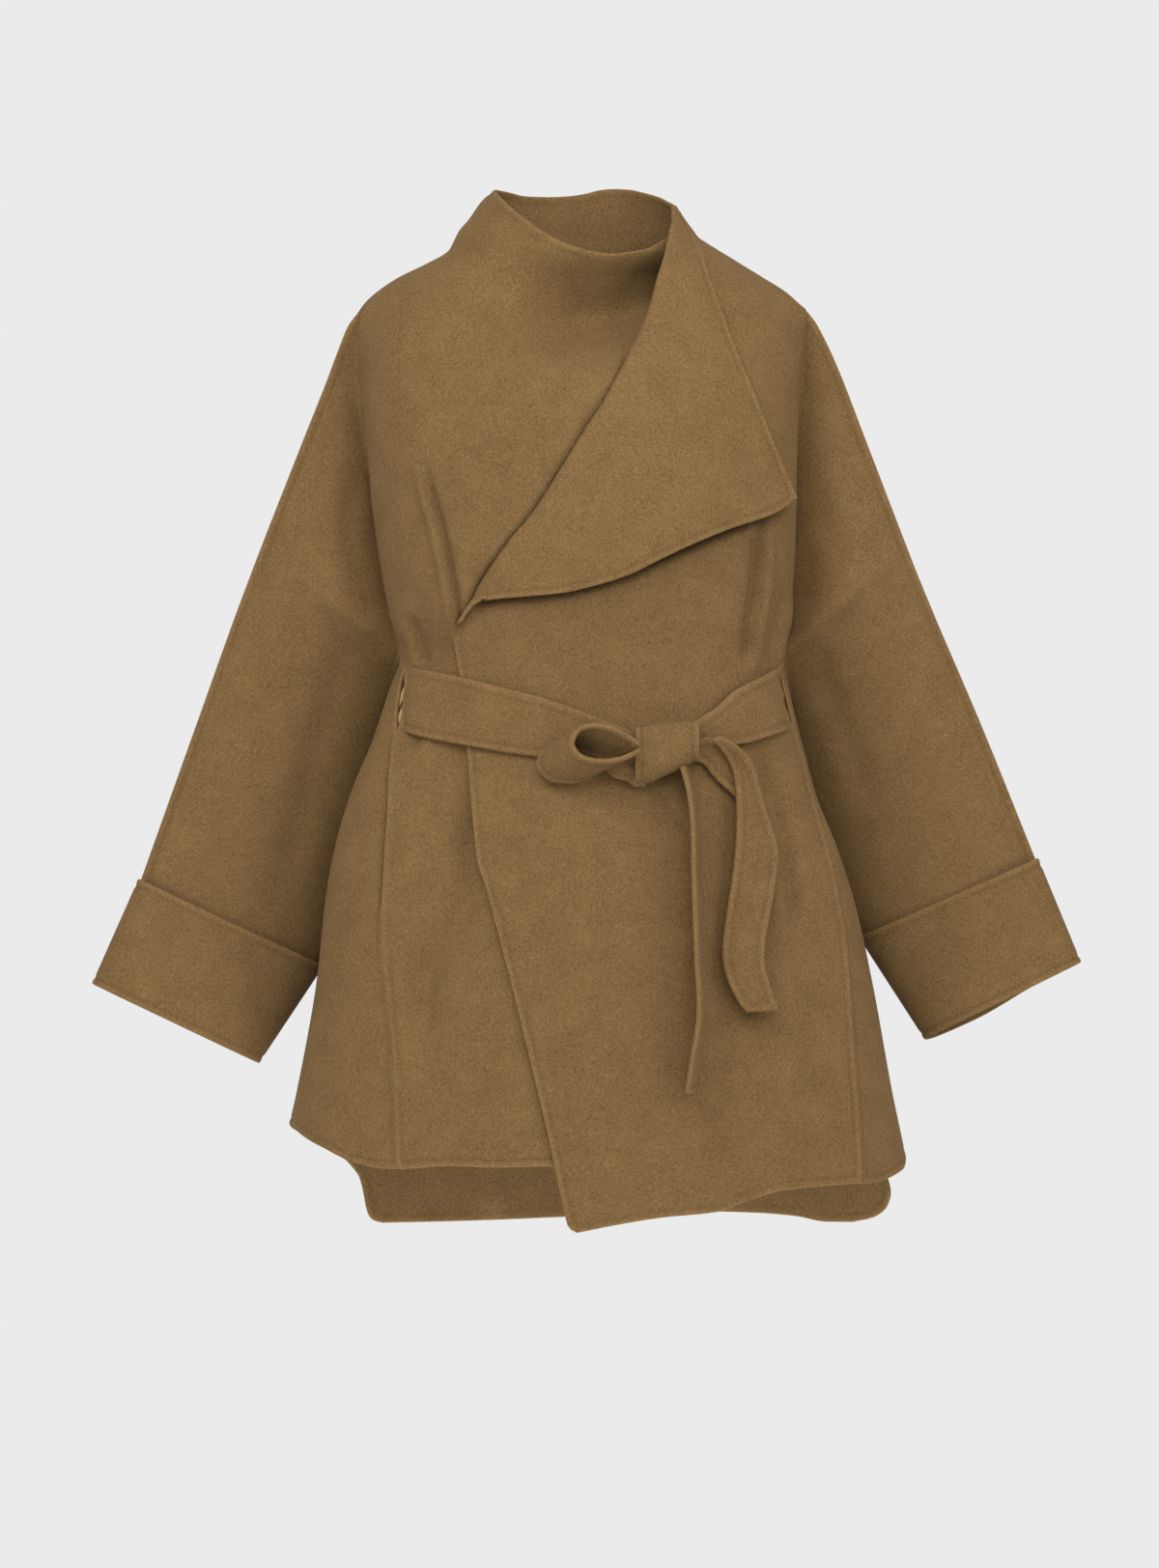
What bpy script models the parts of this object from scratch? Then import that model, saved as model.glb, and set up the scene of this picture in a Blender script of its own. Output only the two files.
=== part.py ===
"""Funnel-neck wrap coat, hollow, as it hangs filled out. Sizes in millimetres.

X is the wearer's left, -Y the front, +Z up. The origin is midway between the shoulders, where the coat is held up.
The body is a form of oval rings, one for each height. A panel is a patch on the form between four edges, and every
layer that lies on a panel is the same form moved out.
"""

import bpy
import numpy as np

MM = 0.001
WALL = 2.4  # thickness of the double-faced wool
GAP = 0.3  # between pieces at a seam
OVERLAP_OUT = 6.0  # the left front lies this far outside the right front
OVERLAP_END = 66.0  # the right front's hidden edge, at this x
LAPEL_CLEAR = 2.6  # clear space under the lapel where it starts
LAPEL_OUT = 3.0  # and this much more at its outer edge
ROLL_LOW, ROLL_TOP = 9.0, 4.0  # radius of the lapel's roll at its lower end and at the collar
SLIT_HALF = 7.0  # half the width of a belt slit
SLEEVE_HALF_THICK = 29.0  # half the thickness of a sleeve at the cuff
CUFF_PROUD = 4.0  # the cuff stands this far outside the sleeve
CUFF_GAP = 1.5
BELT_OUT = 2.0  # clear space under the belt
INSIDE_BELT = 3.5  # the back run lies this far inside the panels
BINDING_WIDE = 1.6
KNOT_THICK, KNOT_ROUND, KNOT_LEAN, KNOT_CLEAR = 15.0, 5.0, -7.0, 3.0
LOOP_CLEAR, TAIL_CLEAR = 4.0, 3.0
SLEEVE_CLEAR = 1.6
TIP_DOWN = 8.0  # the side panel ends this far below the underarm
EDGE_OPEN = 0.4  # half the gap between the two layers of a sleeve at their seams

N_EASE, JOG_FADE = 6, 5
N_FRONT, N_BACK, N_SIDE, N_LOWER, N_ACROSS, N_CUFF, N_LAPEL, N_BEND, N_FLAT, N_LOOP, N_TAIL = 11, 18, 4, 8, 6, 3, 16, 4, 7, 14, 10
BINDING = (0.62, 0.52, 0.34)
ROWS = {"vent": 2, "slit_low": 9, "slit_top": 11, "underarm": 12, "shoulder": 18, "neck": 22, "rim": 25}

# The form: one ring for each height.
FORM_COLUMNS = ("z", "right", "left", "front", "back", "widest", "power")
FORM = (
    (-880, -296, 302, 153, 143, -14, 2.2),
    (-792, -281, 285, 148, 137, -14, 2.2),
    (-730, -266, 272, 143, 132, -14, 2.2),
    (-625, -246, 253, 134, 123, -15, 2.2),
    (-510, -224, 222, 120, 111, -16, 2.2),
    (-413, -198, 193, 104, 97, -16, 2.2),
    (-368, -184, 182, 100, 93, -14, 2.2),
    (-333, -173, 176, 103, 95, -10, 2.2),
    (-300, -182, 182, 110, 99, -6, 2.2),
    (-234, -194, 187, 121, 109, -4, 2.3),
    (-150, -204, 189, 120, 111, -2, 2.3),
    (-65, -212, 193, 97, 97, 0, 2.1),
    (-41, -217, 197, 88, 90, 0, 1.9),
    (-18, -209, 194, 82, 82, 2, 1.8),
    (9, -175, 158, 79, 74, 4, 1.8),
    (35, -132, 110, 78, 68, 4, 1.9),
    (62, -112, 90, 71, 64, 2, 2.0),
    (92, -84, 66, 65, 61, 0, 2.0),
)

# Edges that lie on the front, as x and z from below up.
EDGE_COLUMNS = ("x", "z")
RIGHT_SEAM = ((-174, -796), (-178, -686), (-188, -575), (-184, -475), (-174, -400), (-167, -350))
LEFT_SEAM = ((244, -806), (237, -700), (227, -577), (215, -511), (182, -400), (168, -350))
FRONT_EDGE = ((-12, -858), (-36, -773), (-67, -643), (-93, -543), (-107, -447), (-115, -356), (-121, -310))
ROLL_LINE = ((-120, -298), (-74, -231), (-29, -168), (16, -97), (54, -18), (69, 33), (74, 66), (73, 79))
LAPEL_EDGE = ((80, 74), (94, 46), (110, 3), (136, -67), (164, -136), (187, -191))
LAPEL_LOW = ((187, -191), (128, -217), (63, -246), (5, -270), (-57, -280), (-100, -283), (-118, -296))
COLLAR_FRONT = ((-87, 88), (-63, 65), (-26, 41), (4, 32), (36, 32), (72, 46))
COLLAR_BACK = ((-87, 89), (-50, 84), (-19, 84), (21, 91), (62, 85), (76, 78))
RIGHT_HEM = ((-174, -797), (-127, -796), (-35, -796), (66, -796))
LEFT_HEM = ((-12, -858), (62, -844), (141, -828), (203, -815), (244, -808))

# The back's lower corners and the vent edges, as angle round the form and height, from the hem up to the vent's top.
VENT_COLUMNS = ("angle", "z")
BACK_VENT_RIGHT = ((231, -848), (222, -800), (204, -735))
BACK_VENT_LEFT = ((329, -845), (335, -808), (336, -735))
SIDE_VENT_RIGHT = ((202, -754), (203, -745), (204, -735))
SIDE_VENT_LEFT = ((338, -776), (337, -756), (336, -735))
RIGHT_SIDE_HEM = ((-273, -762), (-221, -795), (-174, -797))
LEFT_SIDE_HEM = ((244, -808), (267, -809), (285, -790))
BACK_HEM = ((259, -845), (216, -847), (152, -840), (60, -843), (-71, -845), (-189, -849))

# The armhole, by share of the way from the underarm to the shoulder: degrees behind the form's widest line.
ARM_COLUMNS = ("share", "front", "back")
ARMHOLE = ((0.0, 2.0, 8.0), (0.25, 7.0, 26.0), (0.6, 8.0, 36.0), (0.85, 6.0, 24.0), (1.0, 1.0, 2.5))

# Sleeves: the over-arm edge from the shoulder to the cuff seam, and the under-arm edge from the armhole to the cuff seam.
SLEEVE_COLUMNS = ("x", "y", "z")
RIGHT_OVER = ((-217, 4, -28), (-233, 4, -66), (-262, 8, -140), (-315, 14, -276), (-364, 19, -408), (-412, 22, -541))
LEFT_OVER = ((204, 4, -29), (221, 4, -66), (250, 8, -137), (304, 14, -276), (356, 19, -397), (408, 22, -522))
RIGHT_UNDER = ((-176, 24, -330), (-186, 46, -385), (-198, 56, -440), (-217, 62, -520), (-247, 56, -617))
LEFT_UNDER = ((177, 24, -330), (184, 46, -385), (196, 56, -440), (217, 62, -510), (250, 56, -591))
RIGHT_CUFF_END = ((-305, 50, -705), (-452, 24, -635))
LEFT_CUFF_END = ((307, 50, -684), (445, 24, -616))

# The belt, its upper and lower edges on the front from the slit to the knot.
BELT_RIGHT_TOP = ((-165, -348), (-113, -358), (-39, -376), (18, -398), (44, -408))
BELT_RIGHT_LOW = ((-171, -400), (-113, -414), (-48, -426), (12, -436), (44, -438))
BELT_LEFT_TOP = ((98, -398), (128, -370), (147, -359), (168, -348))
BELT_LEFT_LOW = ((98, -408), (128, -413), (156, -408), (178, -400))
KNOT_CENTRE = (71, -418)
KNOT_SIZE = (50, 50)
LOOP_COLUMNS = ("x", "z")
LOOP_RIM = ((42, -413), (18, -401), (-3, -399), (-16, -411), (-3, -427), (18, -430), (42, -423))
LOOP_WIDTH_WAY = (-27, 40, -17)  # from the near rim of the loop to its far rim
TAIL_COLUMNS = ("x", "z", "width", "turn")
TAIL_WIDE = ((108, -412, 30, 40), (136, -440, 40, 35), (151, -500, 44, 30), (147, -560, 44, 32), (137, -607, 42, 38), (154, -654, 42, 35))
TAIL_NARROW = ((91, -449, 28, 80), (98, -500, 34, 80), (101, -600, 38, 80), (102, -650, 38, 78), (93, -727, 38, 74))


def smooth(xs, ys, x):
    """A curve through the points with no overshoot."""
    xs, ys = np.asarray(xs, float), np.asarray(ys, float)
    h, d = np.diff(xs), np.diff(ys) / np.diff(xs)
    m = np.zeros_like(ys)
    if len(xs) > 2:
        w1, w2 = 2 * h[1:] + h[:-1], h[1:] + 2 * h[:-1]
        same = d[:-1] * d[1:] > 0
        m[1:-1] = np.where(same, (w1 + w2) / np.where(same, w1 / np.where(d[:-1] == 0, 1, d[:-1]) + w2 / np.where(d[1:] == 0, 1, d[1:]), 1), 0)
    m[0], m[-1] = d[0], d[-1]
    x = np.clip(np.asarray(x, float), xs[0], xs[-1])
    i = np.clip(np.searchsorted(xs, x) - 1, 0, len(xs) - 2)
    t = (x - xs[i]) / h[i]
    return ((1 + 2 * t) * (1 - t) ** 2 * ys[i] + t * (1 - t) ** 2 * h[i] * m[i]
            + t * t * (3 - 2 * t) * ys[i + 1] + t * t * (t - 1) * h[i] * m[i + 1])


def ring(z):
    """The form's sizes at a height, inside the wall: middle, half width, front, back, widest and power."""
    table = np.array(FORM, float)
    right, left, front, back, widest, power = (smooth(table[:, 0], table[:, k], z) for k in range(1, 7))
    return (right + left) / 2, (left - right) / 2 - WALL, front - WALL, back - WALL, widest, power


def on_form(angle, z, out=0.0):
    """Points at an angle round the form (0 the wearer's left, 90 front, 180 right, 270 back), moved out square to it."""
    angle, z = np.broadcast_arrays(np.asarray(angle, float), np.asarray(z, float))

    def at(a, height):
        mid, half, front, back, widest, power = ring(height)
        c, s = np.cos(np.radians(a)), np.sin(np.radians(a))
        deep = np.where(s > 0, front + widest, back - widest)
        return np.stack([mid + half * np.sign(c) * np.abs(c) ** (2 / power),
                         widest - deep * np.sign(s) * np.abs(s) ** (2 / power), height], -1)

    p = at(angle, z)
    round_it = at(angle + 1.5, z) - at(angle - 1.5, z)
    up = at(angle, z + 4) - at(angle, z - 4)
    n = np.cross(up, round_it)
    n /= np.linalg.norm(n, axis=-1, keepdims=True)
    return p + n * np.asarray(out, float)[..., None]


def angle_at(x, z):
    """The angle of the point of the form's front at x."""
    mid, half, _, _, _, power = ring(z)
    t = np.clip((np.asarray(x, float) - mid) / half, -1, 1)
    return np.degrees(np.arccos(np.sign(t) * np.abs(t) ** (power / 2)))


def line(points, share):
    """A curve through a table's points, by share of its length."""
    p = np.array(points, float)
    at = np.concatenate([[0], np.cumsum(np.linalg.norm(np.diff(p, axis=0), axis=1))])
    return np.stack([smooth(at / at[-1], p[:, k], share) for k in range(p.shape[1])], -1)


def front_line(points, share):
    """A curve on the front as angle and height."""
    p = line(points, share)
    return np.stack([angle_at(p[..., 0], p[..., 1]), p[..., 1]], -1)


def steps(n):
    return np.linspace(0, 1, n + 1)


def eased(edge):
    """An edge with its jogs spread over the rows beside them."""
    soft = edge.copy()
    for _ in range(N_EASE):
        soft[1:-1] = (soft[:-2] + 2 * soft[1:-1] + soft[2:]) / 4
    return soft


def patch(low, top, first, last):
    """A net between four edges: columns run along low and top, rows along first and last, whose jogs fade quickly."""
    u, v = np.linspace(0, 1, len(low))[None, :, None], np.linspace(0, 1, len(first))[:, None, None]
    soft_first, soft_last = eased(first), eased(last)
    edges = (1 - v) * low[None] + v * top[None] + (1 - u) * soft_first[:, None] + u * soft_last[:, None]
    corners = ((1 - u) * (1 - v) * low[0] + u * (1 - v) * low[-1] + (1 - u) * v * top[0] + u * v * top[-1])
    jogs = (1 - u) ** JOG_FADE * (first - soft_first)[:, None] + u ** JOG_FADE * (last - soft_last)[:, None]
    return edges - corners + jogs


def piece(name, net, wall=WALL, closed=False, colour=None):
    """A cloth piece: an open net of faces, thickened outward by Solidify."""
    rows, columns = net.shape[:2]
    bpy.ops.mesh.primitive_grid_add(x_subdivisions=columns - 1, y_subdivisions=rows - 1, size=1)
    o = bpy.context.active_object
    o.data.vertices.foreach_set("co", (net * MM).reshape(-1))
    o.data.update()
    if closed:
        weld = o.modifiers.new("join", "WELD")
        weld.merge_threshold = 0.0001
    thick = o.modifiers.new("wall", "SOLIDIFY")
    thick.thickness, thick.offset = wall * MM, 1.0
    finish(o, name, colour or WOOL)


def cloth(name, colour):
    m = bpy.data.materials.new(name)
    m.use_nodes = True
    shader = m.node_tree.nodes["Principled BSDF"]
    shader.inputs["Base Color"].default_value = (*colour, 1)
    shader.inputs["Roughness"].default_value = 0.95
    return m


def before_form(x, z, out):
    """Points in front of the form at x and z. Past a share of the half width the cloth keeps its slope and stands off."""
    mid, half, front, _, widest, power = ring(z)
    keep = np.interp(z, (10, 78), (0.75, 0.97))
    t = np.abs(x - mid) / half
    c = np.minimum(t, keep)
    deep = (front + widest) * (1 - c ** power) ** (1 / power)
    slope = (front + widest) / half * c ** (power - 1) * (1 - c ** power) ** (1 / power - 1)
    y = widest - deep + slope * (t - c) * half
    return np.stack([x, y - out * np.minimum(np.sqrt(1 + slope ** 2), 1.6), z], -1)


def overlap_lift(x):
    """How far the left front stands off the form: over the right front, and down to the side."""
    return OVERLAP_OUT * np.clip((OVERLAP_END + 84 - x) / 54, 0, 1)


def sleeve_net(inner, outer, thick, full):
    """Rows from the inner edge out, bulging by the sleeve's half thickness, the more fully the lower the power."""
    w = (1 - np.cos(np.pi * steps(N_ACROSS))) / 2
    net = inner[:, None] + (outer - inner)[:, None] * w[None, :, None]
    net[..., 1] += thick[:, None] * np.abs(np.sin(np.pi * w))[None, :] ** full[:, None]
    return net


def cuff_ring(inner, outer):
    """The cuff's section: a flat oval round the sleeve's, from the inner edge along the front and back again."""
    a = np.linspace(0, 2 * np.pi, 2 * N_ACROSS + 5)
    w = (1 - np.cos(a)) / 2
    way = (outer - inner) / np.linalg.norm(outer - inner)
    grown_in, grown_out = inner - way * CUFF_PROUD, outer + way * CUFF_PROUD
    p = grown_in + (grown_out - grown_in) * w[:, None]
    p[:, 1] -= np.sign(np.sin(a)) * np.abs(np.sin(a)) ** 0.75 * (SLEEVE_HALF_THICK + CUFF_PROUD)
    return p


def finish(o, name, colour):
    o.name = o.data.name = name
    o.data.materials.clear()
    o.data.materials.append(cloth(name, colour))
    for c in list(o.users_collection):
        c.objects.unlink(o)
    HOME.objects.link(o)


for old in list(bpy.data.objects):
    bpy.data.objects.remove(old)
HOME = bpy.data.collections.new("funnel_neck_coat")
bpy.context.scene.collection.children.link(HOME)
WOOL = (0.22, 0.128, 0.048)

N_SEAM, N_ARM = ROWS["slit_top"], ROWS["shoulder"] - ROWS["underarm"]
N_SHOULDER, N_COLLAR = ROWS["neck"] - ROWS["shoulder"], ROWS["rim"] - ROWS["neck"]
UNDERARM_Z, SHOULDER_Z = -330.0, -22.0
side = {"right": (180.0, 1.0), "left": (360.0, -1.0)}


def seam_rows(points):
    """The front side seam from hem to slit top, sampled at the rows that both its panels share."""
    z = np.interp(np.arange(N_SEAM + 1), (0, ROWS["slit_low"], N_SEAM), (points[0][1], points[-2][1], points[-1][1]))
    table = np.array(points, float)
    return np.stack([angle_at(smooth(table[:, 1], table[:, 0], z), z), z], -1)


def arm_rows(which, column):
    """The armhole from underarm to shoulder, on its front or back side."""
    base, sense = side[which]
    share = steps(N_ARM)
    table = np.array(ARMHOLE, float)
    base = base if column == 2 or which == "right" else 0.0
    return np.stack([base + sense * smooth(table[:, 0], table[:, column], share), UNDERARM_Z + (SHOULDER_Z - UNDERARM_Z) * share], -1)


def shoulder_rows(which, rim, front):
    """The shoulder seam and the side of the collar, along the form's widest line."""
    base, sense = side[which]
    base = base if not front or which == "right" else 0.0
    z = np.concatenate([np.linspace(SHOULDER_Z, 40, N_SHOULDER + 1)[1:], np.linspace(40, rim, N_COLLAR + 1)[1:]])
    return np.stack([np.full_like(z, base), z], -1)


def set_apart(edge, by):
    """An edge moved round the form by some millimetres."""
    a, z = edge.T
    degree = np.linalg.norm(on_form(a + 1, z) - on_form(a - 1, z), axis=-1) / 2
    out = edge.copy()
    out[:, 0] += np.asarray(by) / degree
    return out


def side_back(which, vent, tip):
    """The seam between side and back from the hem to the slit's height, with the vent's free edge at its foot."""
    rows = np.arange(N_SEAM + 1)
    angle, z = np.array(vent, float).T
    up = np.interp(rows[ROWS["vent"] + 1:], (ROWS["vent"], ROWS["slit_low"], N_SEAM), (z[-1], -400, -350))
    edge = np.concatenate([np.stack([angle, z], -1), np.stack([np.full(len(up), angle[-1]), up], -1)])
    return edge if tip is None else np.concatenate([edge, [tip]])


def slit_rows(n):
    """How far an edge at the side seam stands back at each row: a seam's half gap, and more at the slit."""
    by = np.full(n, GAP / 2)
    by[ROWS["slit_low"] + 1:N_SEAM] = SLIT_HALF
    by[ROWS["slit_low"]] = by[N_SEAM] = SLIT_HALF
    return by


# Right front, under: from the side seam, armhole and shoulder to its hidden edge.
right_seam, left_seam = seam_rows(RIGHT_SEAM), seam_rows(LEFT_SEAM)
right_first = np.concatenate([right_seam, arm_rows("right", 1), shoulder_rows("right", 88, True)])
n_rows = len(right_first)
apart = slit_rows(n_rows)
first = set_apart(right_first, -apart)
hidden_z = np.interp(np.arange(n_rows), (0, n_rows - 1), (RIGHT_HEM[-1][1], COLLAR_FRONT[-1][1]))
hidden = np.stack([angle_at(np.interp(hidden_z, (-800, 46), (OVERLAP_END, COLLAR_FRONT[-1][0])), hidden_z), hidden_z], -1)
low = front_line(RIGHT_HEM, steps(N_FRONT))
top = front_line(COLLAR_FRONT, steps(N_FRONT))
low[0], low[-1], top[0], top[-1] = first[0], hidden[0], first[-1], hidden[-1]
net = patch(low, top, first, hidden)
piece("right_front", on_form(net[..., 0], net[..., 1]))

# Left front, on top: from its front edge and roll line to the side seam, armhole, shoulder and neck.
left_last = np.concatenate([left_seam, arm_rows("left", 1), shoulder_rows("left", 78, True)])
last = set_apart(left_last, apart)
n_edge = ROWS["slit_top"]
edge = np.concatenate([front_line(FRONT_EDGE, steps(n_edge)), front_line(ROLL_LINE, steps(n_rows - n_edge - 2))])
low = front_line(LEFT_HEM, steps(N_FRONT))
top = np.linspace(edge[-1], last[-1], N_FRONT + 1)
low[0], low[-1] = edge[0], last[0]
net = patch(low, top, edge, last)
lift = overlap_lift(on_form(net[..., 0], net[..., 1])[..., 0])
piece("left_front", on_form(net[..., 0], net[..., 1], lift))

# Side panels: from the front side seam, round the widest line, to the back; each ends in a point at the underarm.
for which, seam, vent, hem in (("right", right_first, SIDE_VENT_RIGHT, RIGHT_SIDE_HEM), ("left", left_last, SIDE_VENT_LEFT, LEFT_SIDE_HEM)):
    sense = side[which][1]
    turn = 0.0 if which == "right" else -360.0
    back = side_back(which, vent, arm_rows(which, 2)[0])
    back[:, 0] += turn
    near = set_apart(seam[:ROWS["underarm"] + 1], sense * apart[:ROWS["underarm"] + 1])
    back = set_apart(back, -sense * GAP / 2)
    near[-1, 1] -= TIP_DOWN
    back[-1, 1] -= TIP_DOWN
    if which == "right":
        first, last = back, near
    else:
        first, last = near, back
    low = np.linspace(first[0], last[0], N_SIDE + 1)
    share = steps(N_SIDE)
    hem_at = front_line(hem, share)
    low[:, 1] = np.interp(low[:, 0], *zip(*sorted([tuple(first[0]), tuple(last[0])] + [tuple(h) for h in hem_at[1:-1]])))
    top = np.linspace(first[-1], last[-1], N_SIDE + 1)
    net = patch(low, top, first, last)
    piece(which + "_side", on_form(net[..., 0], net[..., 1]))

# Back, with its half of the collar: from the left side round to the right.
first = np.concatenate([side_back("left", BACK_VENT_LEFT, None), arm_rows("left", 2), shoulder_rows("left", 78, False)])
last = np.concatenate([side_back("right", BACK_VENT_RIGHT, None), arm_rows("right", 2), shoulder_rows("right", 88, False)])
first, last = set_apart(first, -GAP / 2), set_apart(last, GAP / 2)
low = front_line(BACK_HEM, steps(N_BACK)) * (-1, 1) + (360, 0)
top = front_line(COLLAR_BACK[::-1], steps(N_BACK)) * (-1, 1) + (360, 0)
low[0], low[-1], top[0], top[-1] = first[0], last[0], first[-1], last[-1]
net = patch(low, top, first, last)
piece("back_panel", on_form(net[..., 0], net[..., 1]))

# Sleeves: a front and a back layer, each from the armhole and the under-arm seam out to the over-arm seam.
for which, over, under, cuff_end in (("right", RIGHT_OVER, RIGHT_UNDER, RIGHT_CUFF_END), ("left", LEFT_OVER, LEFT_UNDER, LEFT_CUFF_END)):
    out_edge = line(over, steps(N_ARM + N_LOWER))
    under_edge = line(under, steps(N_LOWER))
    row = np.arange(N_ARM + N_LOWER + 1)
    thick = np.interp(row, (0, 2, N_ARM, N_ARM + N_LOWER), (0, 4, 0.9 * SLEEVE_HALF_THICK, SLEEVE_HALF_THICK))
    full = np.interp(row, (N_ARM - 1, N_ARM + 2), (1.5, 0.75))
    for layer, column, ahead in (("front", 1, -1.0), ("back", 2, 1.0)):
        arm = arm_rows(which, column)[::-1]
        root = on_form(arm[:, 0], arm[:, 1], WALL + SLEEVE_CLEAR)
        inner = np.concatenate([root[:-1], under_edge + (0, ahead * EDGE_OPEN, 0)])
        outer = out_edge + (0, ahead * EDGE_OPEN, 0)
        net = sleeve_net(inner, outer, ahead * thick, full)
        if (which == "right") != (layer == "front"):
            net = net[:, ::-1]
        piece(which + "_sleeve_" + layer, net)
    along = np.array(cuff_end[1], float) - out_edge[-1]
    along /= np.linalg.norm(along)
    ends = [(under_edge[-1] + along * CUFF_GAP, out_edge[-1] + along * CUFF_GAP), (np.array(cuff_end[0], float), np.array(cuff_end[1], float))]
    rings = np.stack([cuff_ring(*(a + (b - a) * k for a, b in zip(*ends))) for k in steps(N_CUFF)])
    if which == "left":
        rings = rings[:, ::-1]
    piece(which + "_cuff", rings, closed=True)

# Lapel: rolls out at the roll line and lies back over the left front.
n_half = N_LAPEL // 2
roll = line(ROLL_LINE, steps(N_LAPEL))
reach = np.concatenate([line(LAPEL_LOW[::-1], steps(n_half)), line(LAPEL_EDGE[::-1], steps(N_LAPEL - n_half))[1:]])
rows = []
for k in range(N_LAPEL + 1):
    way = reach[k] - roll[k]
    way /= np.linalg.norm(way)
    radius = np.interp(k / N_LAPEL, (0, 1), (ROLL_LOW, ROLL_TOP))
    bend = np.radians(np.linspace(20, 180, N_BEND + 1))
    flat = steps(N_FLAT)[1:]
    start = roll[k] + way * radius
    at = np.concatenate([start - np.sin(bend)[:, None] * way * radius, start + flat[:, None] * (reach[k] - start)])
    base = overlap_lift(at[:, 0]) + WALL + LAPEL_CLEAR
    height = np.concatenate([radius * (1 - np.cos(bend)), 2 * radius + flat * (LAPEL_OUT - 2 * radius)])
    rows.append(before_form(at[:, 0], at[:, 1], base + height))
piece("lapel", np.array(rows))

# Belt: two runs on the front, one inside the back.
slit_angle = {"right": right_seam[ROWS["slit_low"]:N_SEAM + 1], "left": left_seam[ROWS["slit_low"]:N_SEAM + 1]}


def belt_run(name, which, top, low, share, out):
    rows = []
    for edge in (low, top):
        p = line(edge, np.array(share))
        a = np.stack([angle_at(p[:, 0], p[:, 1]), p[:, 1]], -1)
        end = 0 if which == "right" else -1
        z = a[end, 1]
        a[end, 0] = np.interp(z, slit_angle[which][:, 1], slit_angle[which][:, 0])
        rows.append(a)
    net = np.stack([rows[0] + (rows[1] - rows[0]) * k for k in steps(2)])
    piece(name, on_form(net[..., 0], net[..., 1], np.array(out)[None, :]))


on_right, on_left = WALL + BELT_OUT, OVERLAP_OUT + WALL + BELT_OUT
belt_run("belt_right_run", "right", BELT_RIGHT_TOP, BELT_RIGHT_LOW, (0, 0.013, 0.05, 0.13, 0.2, 0.3, 0.5, 0.75, 1),
         (-1.0, on_right + 0.8, on_right + 0.4, on_right + 0.4, on_left + 1, on_left + 0.6, on_left, on_left, on_left))
belt_run("belt_left_run", "left", BELT_LEFT_TOP, BELT_LEFT_LOW, (0, 0.25, 0.5, 0.7, 0.97, 1),
         (on_left, on_left, on_left, on_left, on_right + 1.2, -1.0))

in_rows = []
for z_right, z_left in ((-400, -400), (-374, -374), (-348, -348)):
    a0 = np.interp(z_right, slit_angle["right"][:, 1], slit_angle["right"][:, 0])
    a1 = np.interp(z_left, slit_angle["left"][:, 1], slit_angle["left"][:, 0]) + 360
    angles = np.concatenate([[a0 + 0.8, a0 + 4.5], np.linspace(a0 + 14, a1 - 14, N_BACK - 3), [a1 - 4.5, a1 - 0.8]])[::-1]
    depth = np.full(len(angles), -INSIDE_BELT - WALL)
    depth[0] = depth[-1] = -2.6
    in_rows.append(on_form(angles, np.full(len(angles), z_right), depth))
piece("belt_back_run", np.array(in_rows))

# Striped strip along the back lip of each slit.
for which in ("right", "left"):
    base, sense = side[which]
    at = slit_angle[which]
    z = np.linspace(at[0, 1] + 6, at[-1, 1] - 6, 4)
    a = np.interp(z, at[:, 1], at[:, 0])
    e = np.stack([a, z], -1)
    inner, outer = set_apart(e, sense * (SLIT_HALF - BINDING_WIDE - 2 * GAP)), set_apart(e, sense * (SLIT_HALF - 2 * GAP))
    cols = (outer, inner) if which == "right" else (inner, outer)
    net = np.stack(cols, 1)
    piece(which + "_slit_binding", on_form(net[..., 0], net[..., 1], np.full(net.shape[:2], 0.5)), colour=BINDING, wall=1.4)

# Half-bow: knot, loop and the two hanging ends.
x, z = KNOT_CENTRE
back_of_knot = before_form(np.array([x]), np.array([z]), np.array([on_left + WALL + KNOT_CLEAR]))[0]
bpy.ops.mesh.primitive_cube_add(size=1)
knot = bpy.context.active_object
knot.dimensions = (KNOT_SIZE[0] * MM, KNOT_THICK * MM, KNOT_SIZE[1] * MM)
knot.location = np.array([x, back_of_knot[1] - KNOT_THICK / 2, z]) * MM
knot.rotation_euler = (0, np.radians(KNOT_LEAN), 0)
bpy.ops.object.transform_apply(location=True, rotation=True, scale=True)
bevel = knot.modifiers.new("round", "BEVEL")
bevel.width, bevel.segments = KNOT_ROUND * MM, 2
finish(knot, "belt_knot", WOOL)

near = line(LOOP_RIM, steps(N_LOOP))
y_near = before_form(near[:, 0], near[:, 1], np.full(len(near), on_left + WALL + LOOP_CLEAR))[:, 1].min() - LOOP_WIDTH_WAY[1]
rim = np.stack([near[:, 0], np.full(len(near), y_near), near[:, 1]], -1)
net = np.stack([rim + np.array(LOOP_WIDTH_WAY, float) * k for k in steps(2)])
piece("belt_loop", net)

for name, table in (("belt_end_wide", TAIL_WIDE), ("belt_end_narrow", TAIL_NARROW)):
    p = line(table, steps(N_TAIL))
    x, z, width, turn = p.T
    turn = np.radians(turn)
    far_out = np.full(len(x), on_left + WALL + TAIL_CLEAR)
    far = before_form(x + width / 2 * np.cos(turn), z, far_out)
    across = np.stack([-np.cos(turn) * width, -np.sin(turn) * width, 0 * width], -1)
    net = np.stack([far + across * k for k in steps(3)], 1)
    piece(name, net)
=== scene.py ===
"""Looks of the funnel-neck coat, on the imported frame. Sizes in millimetres, in the frame's axes.

Each cloth piece is a thin shell: a net on the form of its solid, with its creases, thickened both ways, with round edges.
"""

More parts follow.
